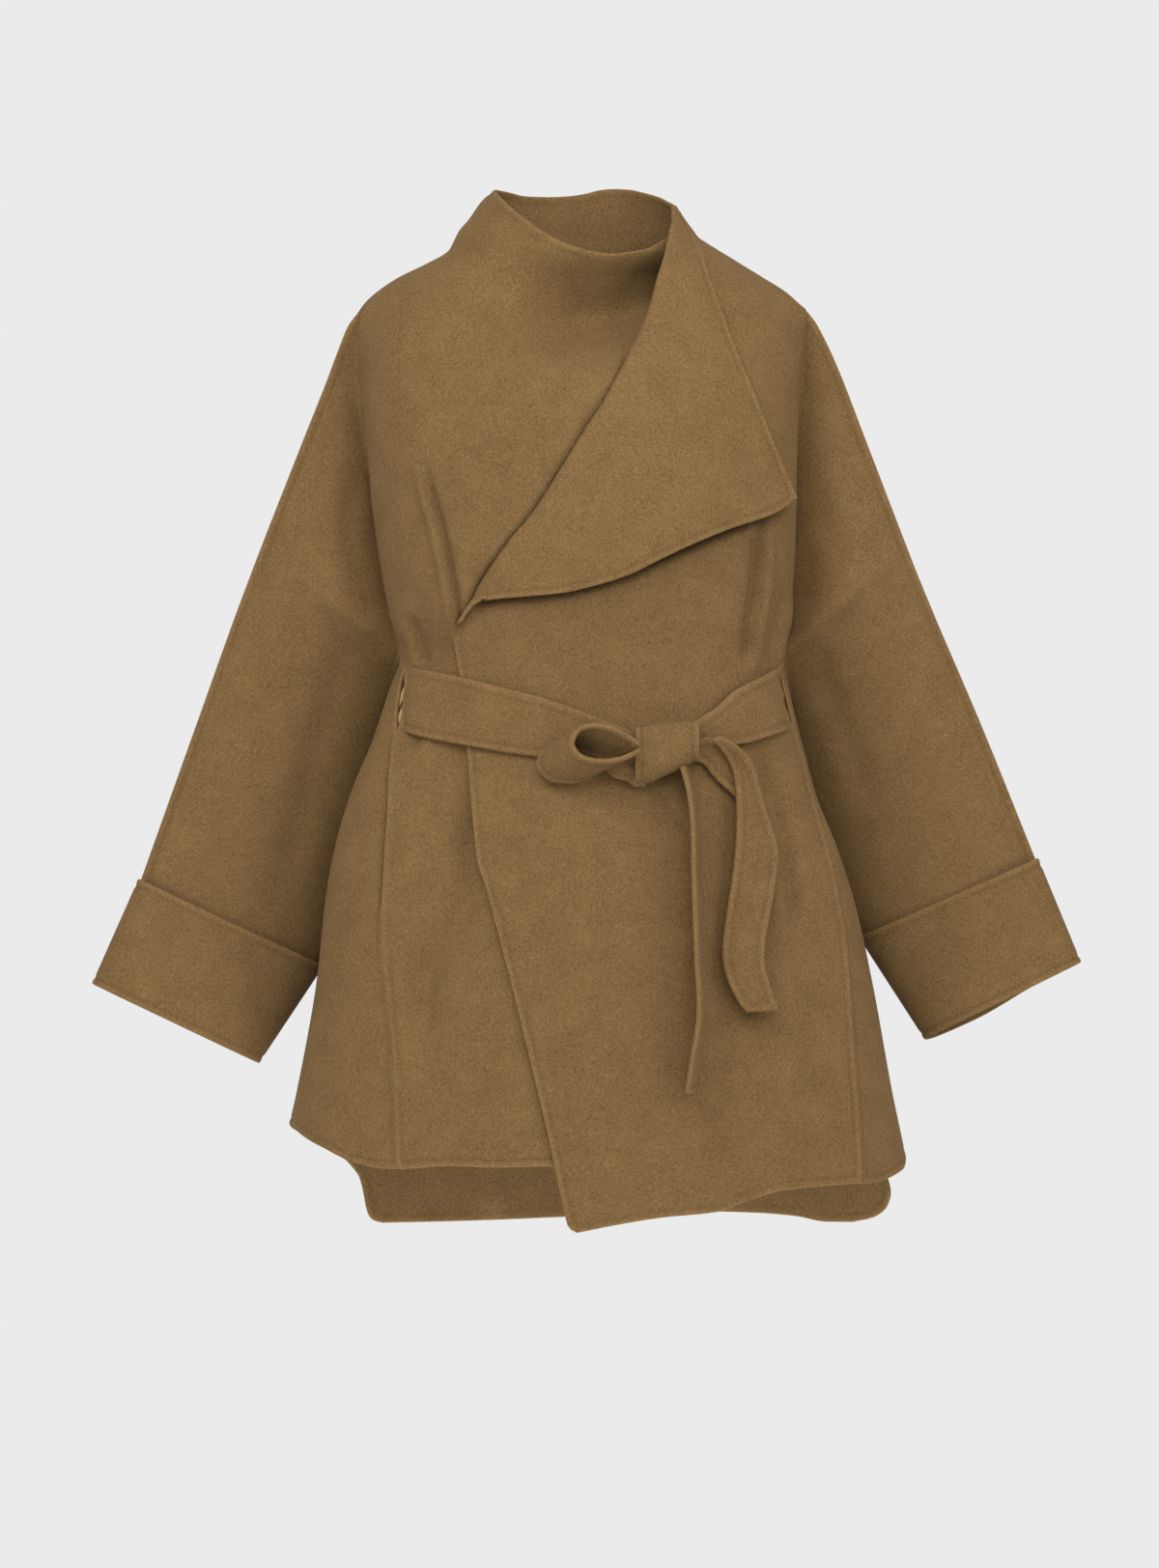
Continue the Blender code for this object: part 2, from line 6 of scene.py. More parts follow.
import bpy
import numpy as np
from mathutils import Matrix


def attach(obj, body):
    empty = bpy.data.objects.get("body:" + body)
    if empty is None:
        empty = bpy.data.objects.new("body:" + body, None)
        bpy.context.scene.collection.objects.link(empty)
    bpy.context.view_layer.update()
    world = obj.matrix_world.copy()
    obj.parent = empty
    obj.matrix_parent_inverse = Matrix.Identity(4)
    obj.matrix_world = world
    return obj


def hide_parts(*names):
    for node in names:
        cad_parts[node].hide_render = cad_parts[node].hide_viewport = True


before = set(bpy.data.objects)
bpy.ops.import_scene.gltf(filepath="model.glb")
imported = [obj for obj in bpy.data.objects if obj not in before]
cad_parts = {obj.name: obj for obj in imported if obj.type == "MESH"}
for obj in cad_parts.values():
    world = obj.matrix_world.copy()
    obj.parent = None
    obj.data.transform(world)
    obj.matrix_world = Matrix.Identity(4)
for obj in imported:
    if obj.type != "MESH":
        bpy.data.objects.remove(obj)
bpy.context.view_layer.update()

MM = 0.001
WALL = 2.4
OVERLAP_OUT, OVERLAP_END = 6.0, 66.0
LAPEL_OUT = 4.2  # from the middle of the front to the middle of the lapel, where it lies flat
FOOT_BOW = 4.5
LAPEL_LIFT = 16.0  # further off along its lower edge
ROLL_FOOT, ROLL_LOW, ROLL_TOP = 3.4, 5.5, 3.6
SLIT_HALF = 5.0
SLEEVE_HALF_THICK = 27.0
CUFF_PROUD = 4.0
SEAM_PROUD = 1.5  # the fronts stand over the sides at their seams
STRAP = 4.2  # thickness of the belt, which is two layers
BELT_OUT = 4.0  # from the coat's outside to the middle of the belt
UNDERARM_Z, SHOULDER_Z, NECK_Z = -330.0, -22.0, 40.0
SLIT_LOW_Z, SLIT_TOP_Z, VENT_Z = -400.0, -350.0, -735.0
N = {"low": 84, "slit": 14, "under": 8, "arm": 64, "shoulder": 18, "collar": 18}
ROW_LOW, ROW_SLIT = N["low"], N["low"] + N["slit"]
ROW_ARM = ROW_SLIT + N["under"]
ROW_SHOULDER = ROW_ARM + N["arm"]
ROWS = sum(N.values()) + 1
ROW_LAPEL = ROW_ARM + 6
EDGE_LINES = (0, 1.0, 2.1, 3.3, 4.6, 6.0, 7.8, 10.0)  # columns beside a free edge

# Form: one ring for each height.
FORM_COLUMNS = ("z", "right", "left", "front", "back", "widest", "power")
FORM = (
    (-880, -296, 302, 153, 143, -14, 2.2), (-792, -281, 285, 148, 137, -14, 2.2), (-730, -266, 272, 143, 132, -14, 2.2),
    (-625, -246, 254, 134, 123, -15, 2.2), (-560, -239, 241, 127, 117, -15, 2.2), (-510, -231, 226, 120, 111, -16, 2.2),
    (-460, -218, 206, 112.5, 104, -16, 2.2), (-413, -199, 193, 106.5, 97, -16, 2.2), (-368, -184, 182, 104.5, 93, -14, 2.2),
    (-333, -173, 176, 106, 95, -10, 2.2), (-300, -182, 182, 109.5, 99, -6, 2.25), (-234, -194, 187, 115.5, 109, -4, 2.35),
    (-150, -204, 189, 114.5, 111, -2, 2.3), (-65, -212, 193, 97, 97, 0, 2.1), (-41, -217, 197, 88, 90, 0, 1.9),
    (-22, -211.5, 198.5, 83, 83.5, 2, 1.82), (-14, -206, 190.5, 82, 81.5, 2, 1.8), (-5, -196.5, 180.5, 80.5, 78, 3, 1.8), (9, -176, 158.5, 79, 74, 4, 1.8), (22, -149.5, 134.5, 78.5, 71, 4, 1.85),
    (34, -129.5, 108, 78, 68, 4, 1.9), (42, -125, 96, 76.5, 67, 3.5, 1.92), (52, -120, 90.5, 74.5, 65.5, 3, 1.95), (62, -111.5, 85, 71, 64, 2, 2.0), (80, -98.5, 74, 67.5, 62, 0.8, 2.0),
    (92, -84, 66, 65, 61, 0, 2.0),
)

# Edges on the front, x and z from below up.
RIGHT_SEAM = ((-174, -799), (-178, -686), (-187, -598), (-188, -555), (-187, -519), (-184, -475), (-182, -443), (-174, -400), (-168, -350))
LEFT_SEAM = ((244, -812), (242, -765), (237, -700), (231, -610), (227.3, -577), (224.1, -555), (220, -534), (214.3, -510), (206.4, -484), (197.4, -455), (190.4, -428), (182.9, -400), (176.1, -375), (170.2, -350))
FRONT_EDGE = ((-12, -856.5), (-18, -852.5), (-22.5, -835), (-36, -773), (-52, -705), (-67, -643), (-81, -588), (-93, -543), (-100, -521), (-103, -493),
              (-107, -447), (-109, -416), (-114, -356), (-117.5, -333), (-119.5, -318), (-119, -304))
ROLL_LINE = ((-119, -304), (-98, -268), (-74, -231), (-52, -204), (-29, -168), (-3, -126), (16, -97), (38, -56), (54, -18), (61, 9), (68, 33), (71, 51), (74, 63), (74, 75))
LAPEL_EDGE = ((81, 70), (86, 61), (94, 46), (101, 29), (110, 3), (123, -33), (136, -67), (150, -101), (164, -136), (175, -164), (187, -190))
LAPEL_LOW = ((187, -190), (168, -203), (128, -217), (94, -231), (62, -246), (36, -259), (5, -269), (-26, -276), (-57, -279), (-82, -281), (-97, -283))
COLLAR_FRONT = ((-87, 88), (-78, 78), (-63, 65), (-46, 52), (-26, 41), (-9, 35), (4, 32), (20, 30), (36, 32), (52, 35), (72, 46))
COLLAR_BACK = ((-87, 89), (-74, 87), (-59, 84), (-40, 83.5), (-19, 84.5), (-3, 87), (9, 90), (21, 91), (36, 90), (50, 86.5), (62, 82.5), (72, 77), (76, 75))
RIGHT_HEM = ((-174, -799), (-127, -796), (-87, -797), (-34, -796), (66, -796))
LEFT_HEM = ((-12, -856.5), (23, -849.5), (62, -843), (114, -837.5), (141, -828), (172, -818.5), (203, -815), (244, -812))
RIGHT_SIDE_HEM = ((-273, -759), (-264, -765.5), (-240, -780.5), (-220, -791), (-197, -797.5), (-174, -799))
LEFT_SIDE_HEM = ((244, -813), (262, -811), (273, -806), (281, -800), (285, -788))
BACK_HEM = ((239, -849.5), (216, -849.5), (188, -844.5), (152, -841.5), (117, -840.5), (60, -843.5), (-22, -845.5), (-71, -847.5), (-134, -849.5), (-189, -850.5))
BACK_VENT_RIGHT = ((-189, -850.5), (-197, -848.5), (-202, -841), (-205, -826), (-209, -810), (-219, -796), (-240, -776), (-244, -735))
BACK_VENT_LEFT = ((239, -849.5), (258, -845), (269, -835.5), (272, -824), (268, -806), (260, -770), (251, -735))
SIDE_VENT_RIGHT_DEG, SIDE_VENT_LEFT_DEG = 203.0, 337.0
BACK_SIDE_RIGHT_DEG, BACK_SIDE_LEFT_DEG = 204.0, 336.0

# Armhole, by share of the way from the underarm to the shoulder: degrees behind the form's widest line.
ARMHOLE = ((0.0, 2.0, 8.0), (0.25, 7.0, 26.0), (0.6, 8.0, 36.0), (0.85, 6.0, 24.0), (1.0, 0.0, 0.0))
RIGHT_OVER = ((-210, 2, -20), (-219, 3, -33), (-228, 3.5, -55), (-238, 5, -82), (-261, 8, -140), (-314, 14, -276), (-361.5, 19, -408), (-409, 22, -541))
LEFT_OVER = ((199, 2, -22), (205, 3, -30.5), (212, 3.5, -44), (222, 4, -66), (249.5, 8, -137), (303.5, 14, -276), (355, 19, -397), (405.5, 22, -522))
RIGHT_UNDER = ((-176, 24, -330), (-186, 46, -385), (-198, 56, -440), (-217, 62, -520), (-248, 56, -617))
LEFT_UNDER = ((177, 24, -330), (184, 46, -385), (196, 56, -440), (217, 62, -510), (250, 56, -591))
RIGHT_CUFF_END = ((-306, 50, -702), (-449, 24, -633.5))
LEFT_CUFF_END = ((309, 50, -680), (442.5, 24, -614))

BELT_RIGHT_TOP = ((-165, -347), (-113, -357), (-76, -366), (-39, -376), (-4, -389), (18, -398), (46, -410))
BELT_RIGHT_LOW = ((-171, -400), (-156, -405), (-113, -414), (-82, -420), (-48, -425), (12, -432), (46, -436))
BELT_LEFT_TOP = ((94, -396), (110, -385), (128, -368), (147, -358), (169, -347))
BELT_LEFT_LOW = ((94, -412), (110, -416), (131, -414), (156, -407), (179, -399))

# Creases, x and z on the front: depth is into the cloth, side is the ridge beside it (plus on the crease's right going down).
CREASE_COLUMNS = ("points", "depth", "width", "ridge")
CREASES_RIGHT_FRONT = (
    (((-153, -150), (-141, -197), (-133, -226), (-127, -255), (-121, -290), (-118, -330)), 7.0, 4.4, -4.5),
    (((-163, -296), (-159, -308), (-153, -326), (-149, -348)), 6.5, 5.5, -3.0),
    (((-150, -402), (-156, -409), (-164, -422), (-175, -437)), 6.0, 6.0, 2.0),
    (((-112, -440), (-108, -480), (-114, -554), (-142, -606), (-158, -650), (-164, -700)), 11.0, 18.0, 0.0),
    (((-120, -2), (-50, -4), (20, -10), (70, -4), (110, 6)), 6.0, 30.0, 0.0),
    (((-150, -470), (-158, -600), (-150, -760)), 4.0, 24.0, 0.0),
)
HOLLOW, HOLLOW_DEEP, HOLLOW_ABOVE, HOLLOW_BELOW = ((-85, -56), (-50, -43), (-5, -33), (30, -24), (62, -8), (90, 10)), 40.0, 44.0, 24.0
SWELL, SWELL_LEFT, SWELL_UNDER = 17.0, 48.0, 4.0  # the right front rises to the lapel's roll
UNDER_LAPEL = ((-110, -287), (-96, -281), (-57, -276.5), (-26, -273), (5, -266), (36, -256), (62, -243), (94, -228), (128, -214), (168, -200), (186, -192))
CREASES_LEFT_FRONT = (
    (((152, -205), (149, -270), (143, -311), (141, -352)), 8.5, 5.5, 6.0),
    (((177, -274), (171, -305), (164, -345)), 7.0, 5.0, 2.5),
    (((146, -405), (152, -425), (162, -456), (172, -484), (181, -530), (188, -600)), 9.0, 9.0, -3.0),
    (((48, -453), (63, -464), (79, -481), (86, -500)), 2.0, 3.0, 0.0),
    (((120, -430), (124, -520), (130, -640), (128, -760)), 4.5, 22.0, 0.0),
    (((30, -300), (60, -330), (100, -355)), 2.0, 22.0, 0.0),
    (((200, -560), (206, -660), (206, -780)), 4.0, 20.0, 0.0),
    (((-60, -560), (-30, -660), (10, -800)), 2.0, 26.0, 0.0),
)
CREASES_BACK = (
    (((-90, -300), (-84, -350), (-96, -420), (-110, -520)), 5.0, 12.0, 2.0),
    (((-30, -320), (-24, -370), (-30, -450), (-26, -560)), 4.5, 14.0, -1.5),
    (((48, -310), (44, -370), (56, -470), (60, -600)), 5.0, 13.0, 2.0),
    (((110, -300), (104, -360), (122, -440), (136, -560)), 5.0, 12.0, -2.0),
    (((-89, -700), (-89, -780), (-90, -860)), 5.0, 13.0, 0.0),
    (((120, -650), (128, -760), (132, -860)), 5.0, 22.0, 0.0),
    (((-120, -60), (-100, -140), (-110, -240)), 4.0, 20.0, 0.0),
    (((110, -60), (96, -150), (106, -250)), 4.0, 20.0, 0.0),
    (((-50, 30), (0, 18), (50, 26)), 3.0, 16.0, 0.0),
)
# Sleeves: share of the way along and across, from the armhole or underarm seam (0) to the over-arm edge (1).
SLEEVE_CREASES = {
    "right_front": ((((0.42, 0.30), (0.60, 0.34), (0.80, 0.34), (0.98, 0.30)), 3.6, 15.0), (((0.20, 0.2), (0.36, 0.42)), 3.0, 12.0)),
    "left_front": ((((0.44, 0.22), (0.62, 0.28), (0.82, 0.34)), 4.0, 14.0), (((0.22, 0.25), (0.40, 0.5)), 3.0, 14.0)),
    "right_back": ((((0.30, 0.15), (0.50, 0.45), (0.62, 0.60)), 6.0, 13.0), (((0.45, 0.20), (0.70, 0.42), (0.95, 0.45)), 6.0, 15.0)),
    "left_back": ((((0.28, 0.20), (0.46, 0.42), (0.60, 0.55)), 6.0, 13.0), (((0.42, 0.18), (0.68, 0.35), (0.96, 0.5)), 6.0, 15.0)),
}


def smooth(xs, ys, x):
    """A curve through the points with no overshoot."""
    xs, ys = np.asarray(xs, float), np.asarray(ys, float)
    h, d = np.diff(xs), np.diff(ys) / np.diff(xs)
    m = np.zeros_like(ys)
    if len(xs) > 2:
        w1, w2 = 2 * h[1:] + h[:-1], h[1:] + 2 * h[:-1]
        same = d[:-1] * d[1:] > 0
        m[1:-1] = np.where(same, (w1 + w2) / np.where(same, w1 / np.where(d[:-1] == 0, 1, d[:-1]) + w2 / np.where(d[1:] == 0, 1, d[1:]), 1), 0)
    m[0], m[-1] = d[0], d[-1]
    x = np.clip(np.asarray(x, float), xs[0], xs[-1])
    i = np.clip(np.searchsorted(xs, x) - 1, 0, len(xs) - 2)
    t = (x - xs[i]) / h[i]
    return ((1 + 2 * t) * (1 - t) ** 2 * ys[i] + t * (1 - t) ** 2 * h[i] * m[i]
            + t * t * (3 - 2 * t) * ys[i + 1] + t * t * (t - 1) * h[i] * m[i + 1])


def ease(t):
    t = np.clip(t, 0, 1)
    return t * t * (3 - 2 * t)


def ring(z):
    table = np.array(FORM, float)
    right, left, front, back, widest, power = (smooth(table[:, 0], table[:, k], z) for k in range(1, 7))
    return (right + left) / 2, (left - right) / 2 - WALL, front - WALL, back - WALL, widest, power


def on_form(angle, z, out=0.0):
    """Points at an angle round the form (0 the wearer's left, 90 front, 180 right, 270 back), moved out square to it."""
    angle, z = np.broadcast_arrays(np.asarray(angle, float), np.asarray(z, float))

    def at(a, height):
        mid, half, front, back, widest, power = ring(height)
        c, s = np.cos(np.radians(a)), np.sin(np.radians(a))
        deep = np.where(s > 0, front + widest, back - widest)
        return np.stack([mid + half * np.sign(c) * np.abs(c) ** (2 / power),
                         widest - deep * np.sign(s) * np.abs(s) ** (2 / power), height], -1)

    p = at(angle, z)
    round_it = at(angle + 1.5, z) - at(angle - 1.5, z)
    up = at(angle, z + 4) - at(angle, z - 4)
    n = np.cross(up, round_it)
    n /= np.linalg.norm(n, axis=-1, keepdims=True)
    return p + n * np.asarray(out, float)[..., None]


def angle_at(x, z):
    mid, half, _, _, _, power = ring(z)
    t = np.clip((np.asarray(x, float) - mid) / half, -1, 1)
    return np.degrees(np.arccos(np.sign(t) * np.abs(t) ** (power / 2)))


def line(points, share):
    p = np.array(points, float)
    at = np.concatenate([[0], np.cumsum(np.linalg.norm(np.diff(p, axis=0), axis=1))])
    return np.stack([smooth(at / at[-1], p[:, k], share) for k in range(p.shape[1])], -1)


def front_line(points, share):
    p = line(points, share)
    return np.stack([angle_at(p[..., 0], p[..., 1]), p[..., 1]], -1)


def steps(n):
    return np.linspace(0, 1, n + 1)


def eased(edge, n=260):
    soft = edge.copy()
    for _ in range(n):
        soft[1:-1] = (soft[:-2] + 2 * soft[1:-1] + soft[2:]) / 4
    return soft


def patch(low, top, first, last, u, v):
    """A net between four edges; jogs of the first and last edges fade quickly into it."""
    u, v = u[None, :, None], v[:, None, None]
    soft_first, soft_last = eased(first), eased(last)
    edges = (1 - v) * low[None] + v * top[None] + (1 - u) * soft_first[:, None] + u * soft_last[:, None]
    corners = ((1 - u) * (1 - v) * low[0] + u * (1 - v) * low[-1] + (1 - u) * v * top[0] + u * v * top[-1])
    jogs = (1 - u) ** 7 * (first - soft_first)[:, None] + u ** 7 * (last - soft_last)[:, None]
    return edges - corners + jogs


def spread(n, width, start=True, end=True):
    """Shares across a net, closer together beside its free edges."""
    near = np.array(EDGE_LINES) / width
    a, b = near[-1] if start else 0.0, 1 - near[-1] if end else 1.0
    parts = ([near[:-1]] if start else []) + [np.linspace(a, b, n)] + ([1 - near[:-1][::-1]] if end else [])
    return np.concatenate(parts)


def before_form(x, z, out):
    """Points in front of the form at x and z. Past a share of the half width the cloth keeps its slope and stands off."""
    mid, half, front, _, widest, power = ring(z)
    keep = np.interp(z, (10, 78), (0.75, 0.97))
    t = np.abs(x - mid) / half
    c = np.minimum(t, keep)
    deep = (front + widest) * (1 - c ** power) ** (1 / power)
    slope = (front + widest) / half * c ** (power - 1) * (1 - c ** power) ** (1 / power - 1)
    y = widest - deep + slope * (t - c) * half
    return np.stack([x, y - out * np.minimum(np.sqrt(1 + slope ** 2), 1.6), z], -1)


def overlap_lift(x):
    return OVERLAP_OUT * ease((OVERLAP_END + 84 - x) / 60)


def off_line(p, points):
    """Distance of points of a plane from a polyline, the share along it, and the side."""
    q = np.array(points, float)
    flat = p.reshape(-1, 2)
    best, share, side = np.full(len(flat), 1e9), np.zeros(len(flat)), np.ones(len(flat))
    run = np.concatenate([[0], np.cumsum(np.linalg.norm(np.diff(q, axis=0), axis=1))])
    for k in range(len(q) - 1):
        d = q[k + 1] - q[k]
        t = np.clip(((flat - q[k]) @ d) / (d @ d), 0, 1)
        r = flat - q[k] - t[:, None] * d
        dist = np.hypot(r[:, 0], r[:, 1])
        near = dist < best
        best[near] = dist[near]
        share[near] = ((run[k] + t * (run[k + 1] - run[k])) / run[-1])[near]
        side[near] = np.sign(d[0] * r[:, 1] - d[1] * r[:, 0])[near]
    return best.reshape(p.shape[:-1]), share.reshape(p.shape[:-1]), side.reshape(p.shape[:-1])


def crease_depth(xz, table):
    """How far creases move the cloth out: soft troughs, some with a ridge on one side."""
    out = np.zeros(xz.shape[:-1])
    for points, depth, width, ridge in table:
        p = line(points, steps(12))
        d, s, side = off_line(xz, p)
        fade = ease(s / 0.22) * ease((1 - s) / 0.22)
        out -= depth * fade * np.exp(-(d / width) ** 2)
        if ridge:
            on = np.where(side * np.sign(ridge) > 0, 1.0, 0.0)
            out += abs(ridge) * fade * on * (d / width) ** 2 * np.exp(1 - (d / width / 1.3) ** 2)
    return out


# ---- nets joined, smoothed and thickened

def quads(rows, columns):
    i = np.arange(rows * columns).reshape(rows, columns)
    return np.stack([i[:-1, :-1], i[:-1, 1:], i[1:, 1:], i[1:, :-1]], -1).reshape(-1, 4)


def join(nets):
    """Nets made one surface where their points meet: points, faces, and each net's own points and faces in it."""
    points = np.concatenate([n.reshape(-1, 3) for n in nets.values()])
    _, first, index = np.unique(np.round(points / 0.01).astype(np.int64), axis=0, return_index=True, return_inverse=True)
    index = index.reshape(-1)
    at, faces = 0, {}
    for name, n in nets.items():
        f = index[quads(*n.shape[:2]) + at]
        faces[name] = f[(f[:, 0] != f[:, 2]) & (f[:, 1] != f[:, 3])]
        at += n.shape[0] * n.shape[1]
    return points[first], faces


def normals(points, faces):
    n = np.zeros_like(points)
    p = points[faces]
    face = np.cross(p[:, 2] - p[:, 0], p[:, 3] - p[:, 1])
    for k in range(4):
        np.add.at(n, faces[:, k], face)
    return n / np.maximum(np.linalg.norm(n, axis=1, keepdims=True), 1e-12)


def border(faces):
    """Directed edges that only one face has."""
    e = np.concatenate([faces[:, [0, 1]], faces[:, [1, 2]], faces[:, [2, 3]], faces[:, [3, 0]]])
    e = e[e[:, 0] != e[:, 1]]
    key = np.sort(e, axis=1)
    _, index, count = np.unique(key, axis=0, return_inverse=True, return_counts=True)
    return e[count[index.reshape(-1)] == 1]


def relax(points, faces, weight, times):
    """Points drawn towards the mean of their neighbours, each by its weight."""
    e = np.concatenate([faces[:, [0, 1]], faces[:, [1, 2]], faces[:, [2, 3]], faces[:, [3, 0]]])
    e = np.unique(np.sort(e, axis=1), axis=0)
    count = np.bincount(e.reshape(-1), minlength=len(points))[:, None]
    p = points.copy()
    for _ in range(times):
        total = np.zeros_like(p)
        np.add.at(total, e[:, 0], p[e[:, 1]])
        np.add.at(total, e[:, 1], p[e[:, 0]])
        p += weight[:, None] * (total / np.maximum(count, 1) - p)
    return p


def edge_off(points, ends, limit=12.0):
    """Distance of points from the nearest of some edges, up to a limit."""
    best = np.full(len(points), limit)
    a, b = points[ends[:, 0]], points[ends[:, 1]]
    low, high = np.minimum(a, b).min(0) - limit, np.maximum(a, b).max(0) + limit
    near = np.where(((points > low) & (points < high)).all(1))[0]
    for start in range(0, len(near), 1500):
        at = near[start:start + 1500]
        q = points[at]
        d = b - a
        t = np.clip(((q[:, None] - a) * d).sum(-1) / np.maximum((d * d).sum(-1), 1e-9), 0, 1)
        best[at] = np.minimum(best[at], np.linalg.norm(q[:, None] - a - t[..., None] * d, axis=-1).min(1))
    return best


def shell(name, points, faces, normal, wall=WALL, free=None, edge=None, material=None, slot="wool", nodes=None, inside=None, tint=0.0):
    """A closed mesh: both sides of the cloth and a rim, which is round on free edges."""
    used, faces = np.unique(faces, return_inverse=True)
    faces = faces.reshape(-1, 4)
    p, n = points[used], normal[used]
    rim = border(faces)
    if free is None:
        is_free = np.ones(len(p), bool)
    else:
        is_free = free[used]
    out = np.zeros_like(p)
    way = np.cross(p[rim[:, 1]] - p[rim[:, 0]], n[rim[:, 0]] + n[rim[:, 1]])
    way /= np.maximum(np.linalg.norm(way, axis=1, keepdims=True), 1e-12)
    np.add.at(out, rim[:, 0], way)
    np.add.at(out, rim[:, 1], way)
    out /= np.maximum(np.linalg.norm(out, axis=1, keepdims=True), 1e-12)
    half = (wall[used] if isinstance(wall, np.ndarray) else np.full(len(p), wall)) / 2
    on_rim = np.unique(rim)
    place = np.full(len(p), -1)
    place[on_rim] = np.arange(len(on_rim))
    verts, norms = [p + n * half[:, None], p - n * half[:, None]], [n, -n]
    turns = np.radians([45, 90, 135])
    for turn in turns:
        bulge = np.where(is_free[on_rim], half[on_rim], 0.0)[:, None] * np.sin(turn)
        verts.append(p[on_rim] + n[on_rim] * (half[on_rim] * np.cos(turn))[:, None] + out[on_rim] * bulge)
        norms.append(n[on_rim] * np.cos(turn) + out[on_rim] * np.sin(turn))
    k = len(p)
    levels = [lambda i: i] + [lambda i, r=r: 2 * k + r * len(on_rim) + place[i] for r in range(len(turns))] + [lambda i: i + k]
    a, b = rim[:, 0], rim[:, 1]
    sides = [np.stack([low(b), low(a), high(a), high(b)], -1) for low, high in zip(levels[:-1], levels[1:])]
    every = np.concatenate([faces, faces[:, ::-1] + k] + sides)
    co, no = np.concatenate(verts) * MM, np.concatenate(norms)
    no /= np.maximum(np.linalg.norm(no, axis=1, keepdims=True), 1e-12)
    mesh = bpy.data.meshes.new(name)
    corners = [list(dict.fromkeys(f)) for f in every.tolist()]
    mesh.from_pydata(co.tolist(), [], [c for c in corners if len(c) > 2])
    mesh.shade_smooth()
    mesh.normals_split_custom_set_from_vertices(no.tolist())
    # Painted highlight and painted shade in the colour: the cloth's edges and their rounded rims are painted lighter,
    # as if they caught the light, and a line of painted shade darkens the stitched groove beside each edge. The next
    # line adds more painted light and shade given for each piece.
    tone = np.zeros(len(p)) if edge is None else np.where(edge[used] < 11.9, np.exp(-(edge[used] / 2.4) ** 2) - 0.9 * np.exp(-((edge[used] - 5.0) / 1.4) ** 2), 0.0)
    tone = tone + (tint(p) if callable(tint) else tint)
    shade = mesh.attributes.new("rim", "FLOAT", "POINT")
    shade.data.foreach_set("value", np.concatenate([tone, tone if inside is None else tone + inside[used]] + [np.where(is_free[on_rim], 1.0, 0.0)] * len(turns)).astype(np.float32))
    o = bpy.data.objects.new(name, mesh)
    bpy.context.scene.collection.objects.link(o)
    mesh.materials.append(material or WOOL)
    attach(o, "root")
    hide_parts(*(nodes or [name]))
    return o


def edge_wall(wall, off, more=1.0):
    """Thickness beside an edge: a full rim, then the line where the two faces of the cloth are sewn together."""
    return wall + more * (0.7 * np.exp(-(off / 3.0) ** 2) - 1.5 * np.exp(-((off - 5.4) / 1.5) ** 2))


def strap(name, nets, wall=STRAP, **more):
    """A piece of the belt: its nets joined, with the stitched line beside its edges."""
    points, faces = join({str(k): n for k, n in enumerate(nets)})
    every = np.concatenate(list(faces.values()))
    n = normals(points, every)
    d = edge_off(points, border(every))
    return shell(name, points, every, n, wall=edge_wall(wall, d), edge=d, **more)


# ---- materials

def node(tree, kind, **values):
    made = tree.nodes.new(kind)
    for key, value in values.items():
        if hasattr(made, key):
            setattr(made, key, value)
        else:
            made.inputs[key].default_value = value
    return made


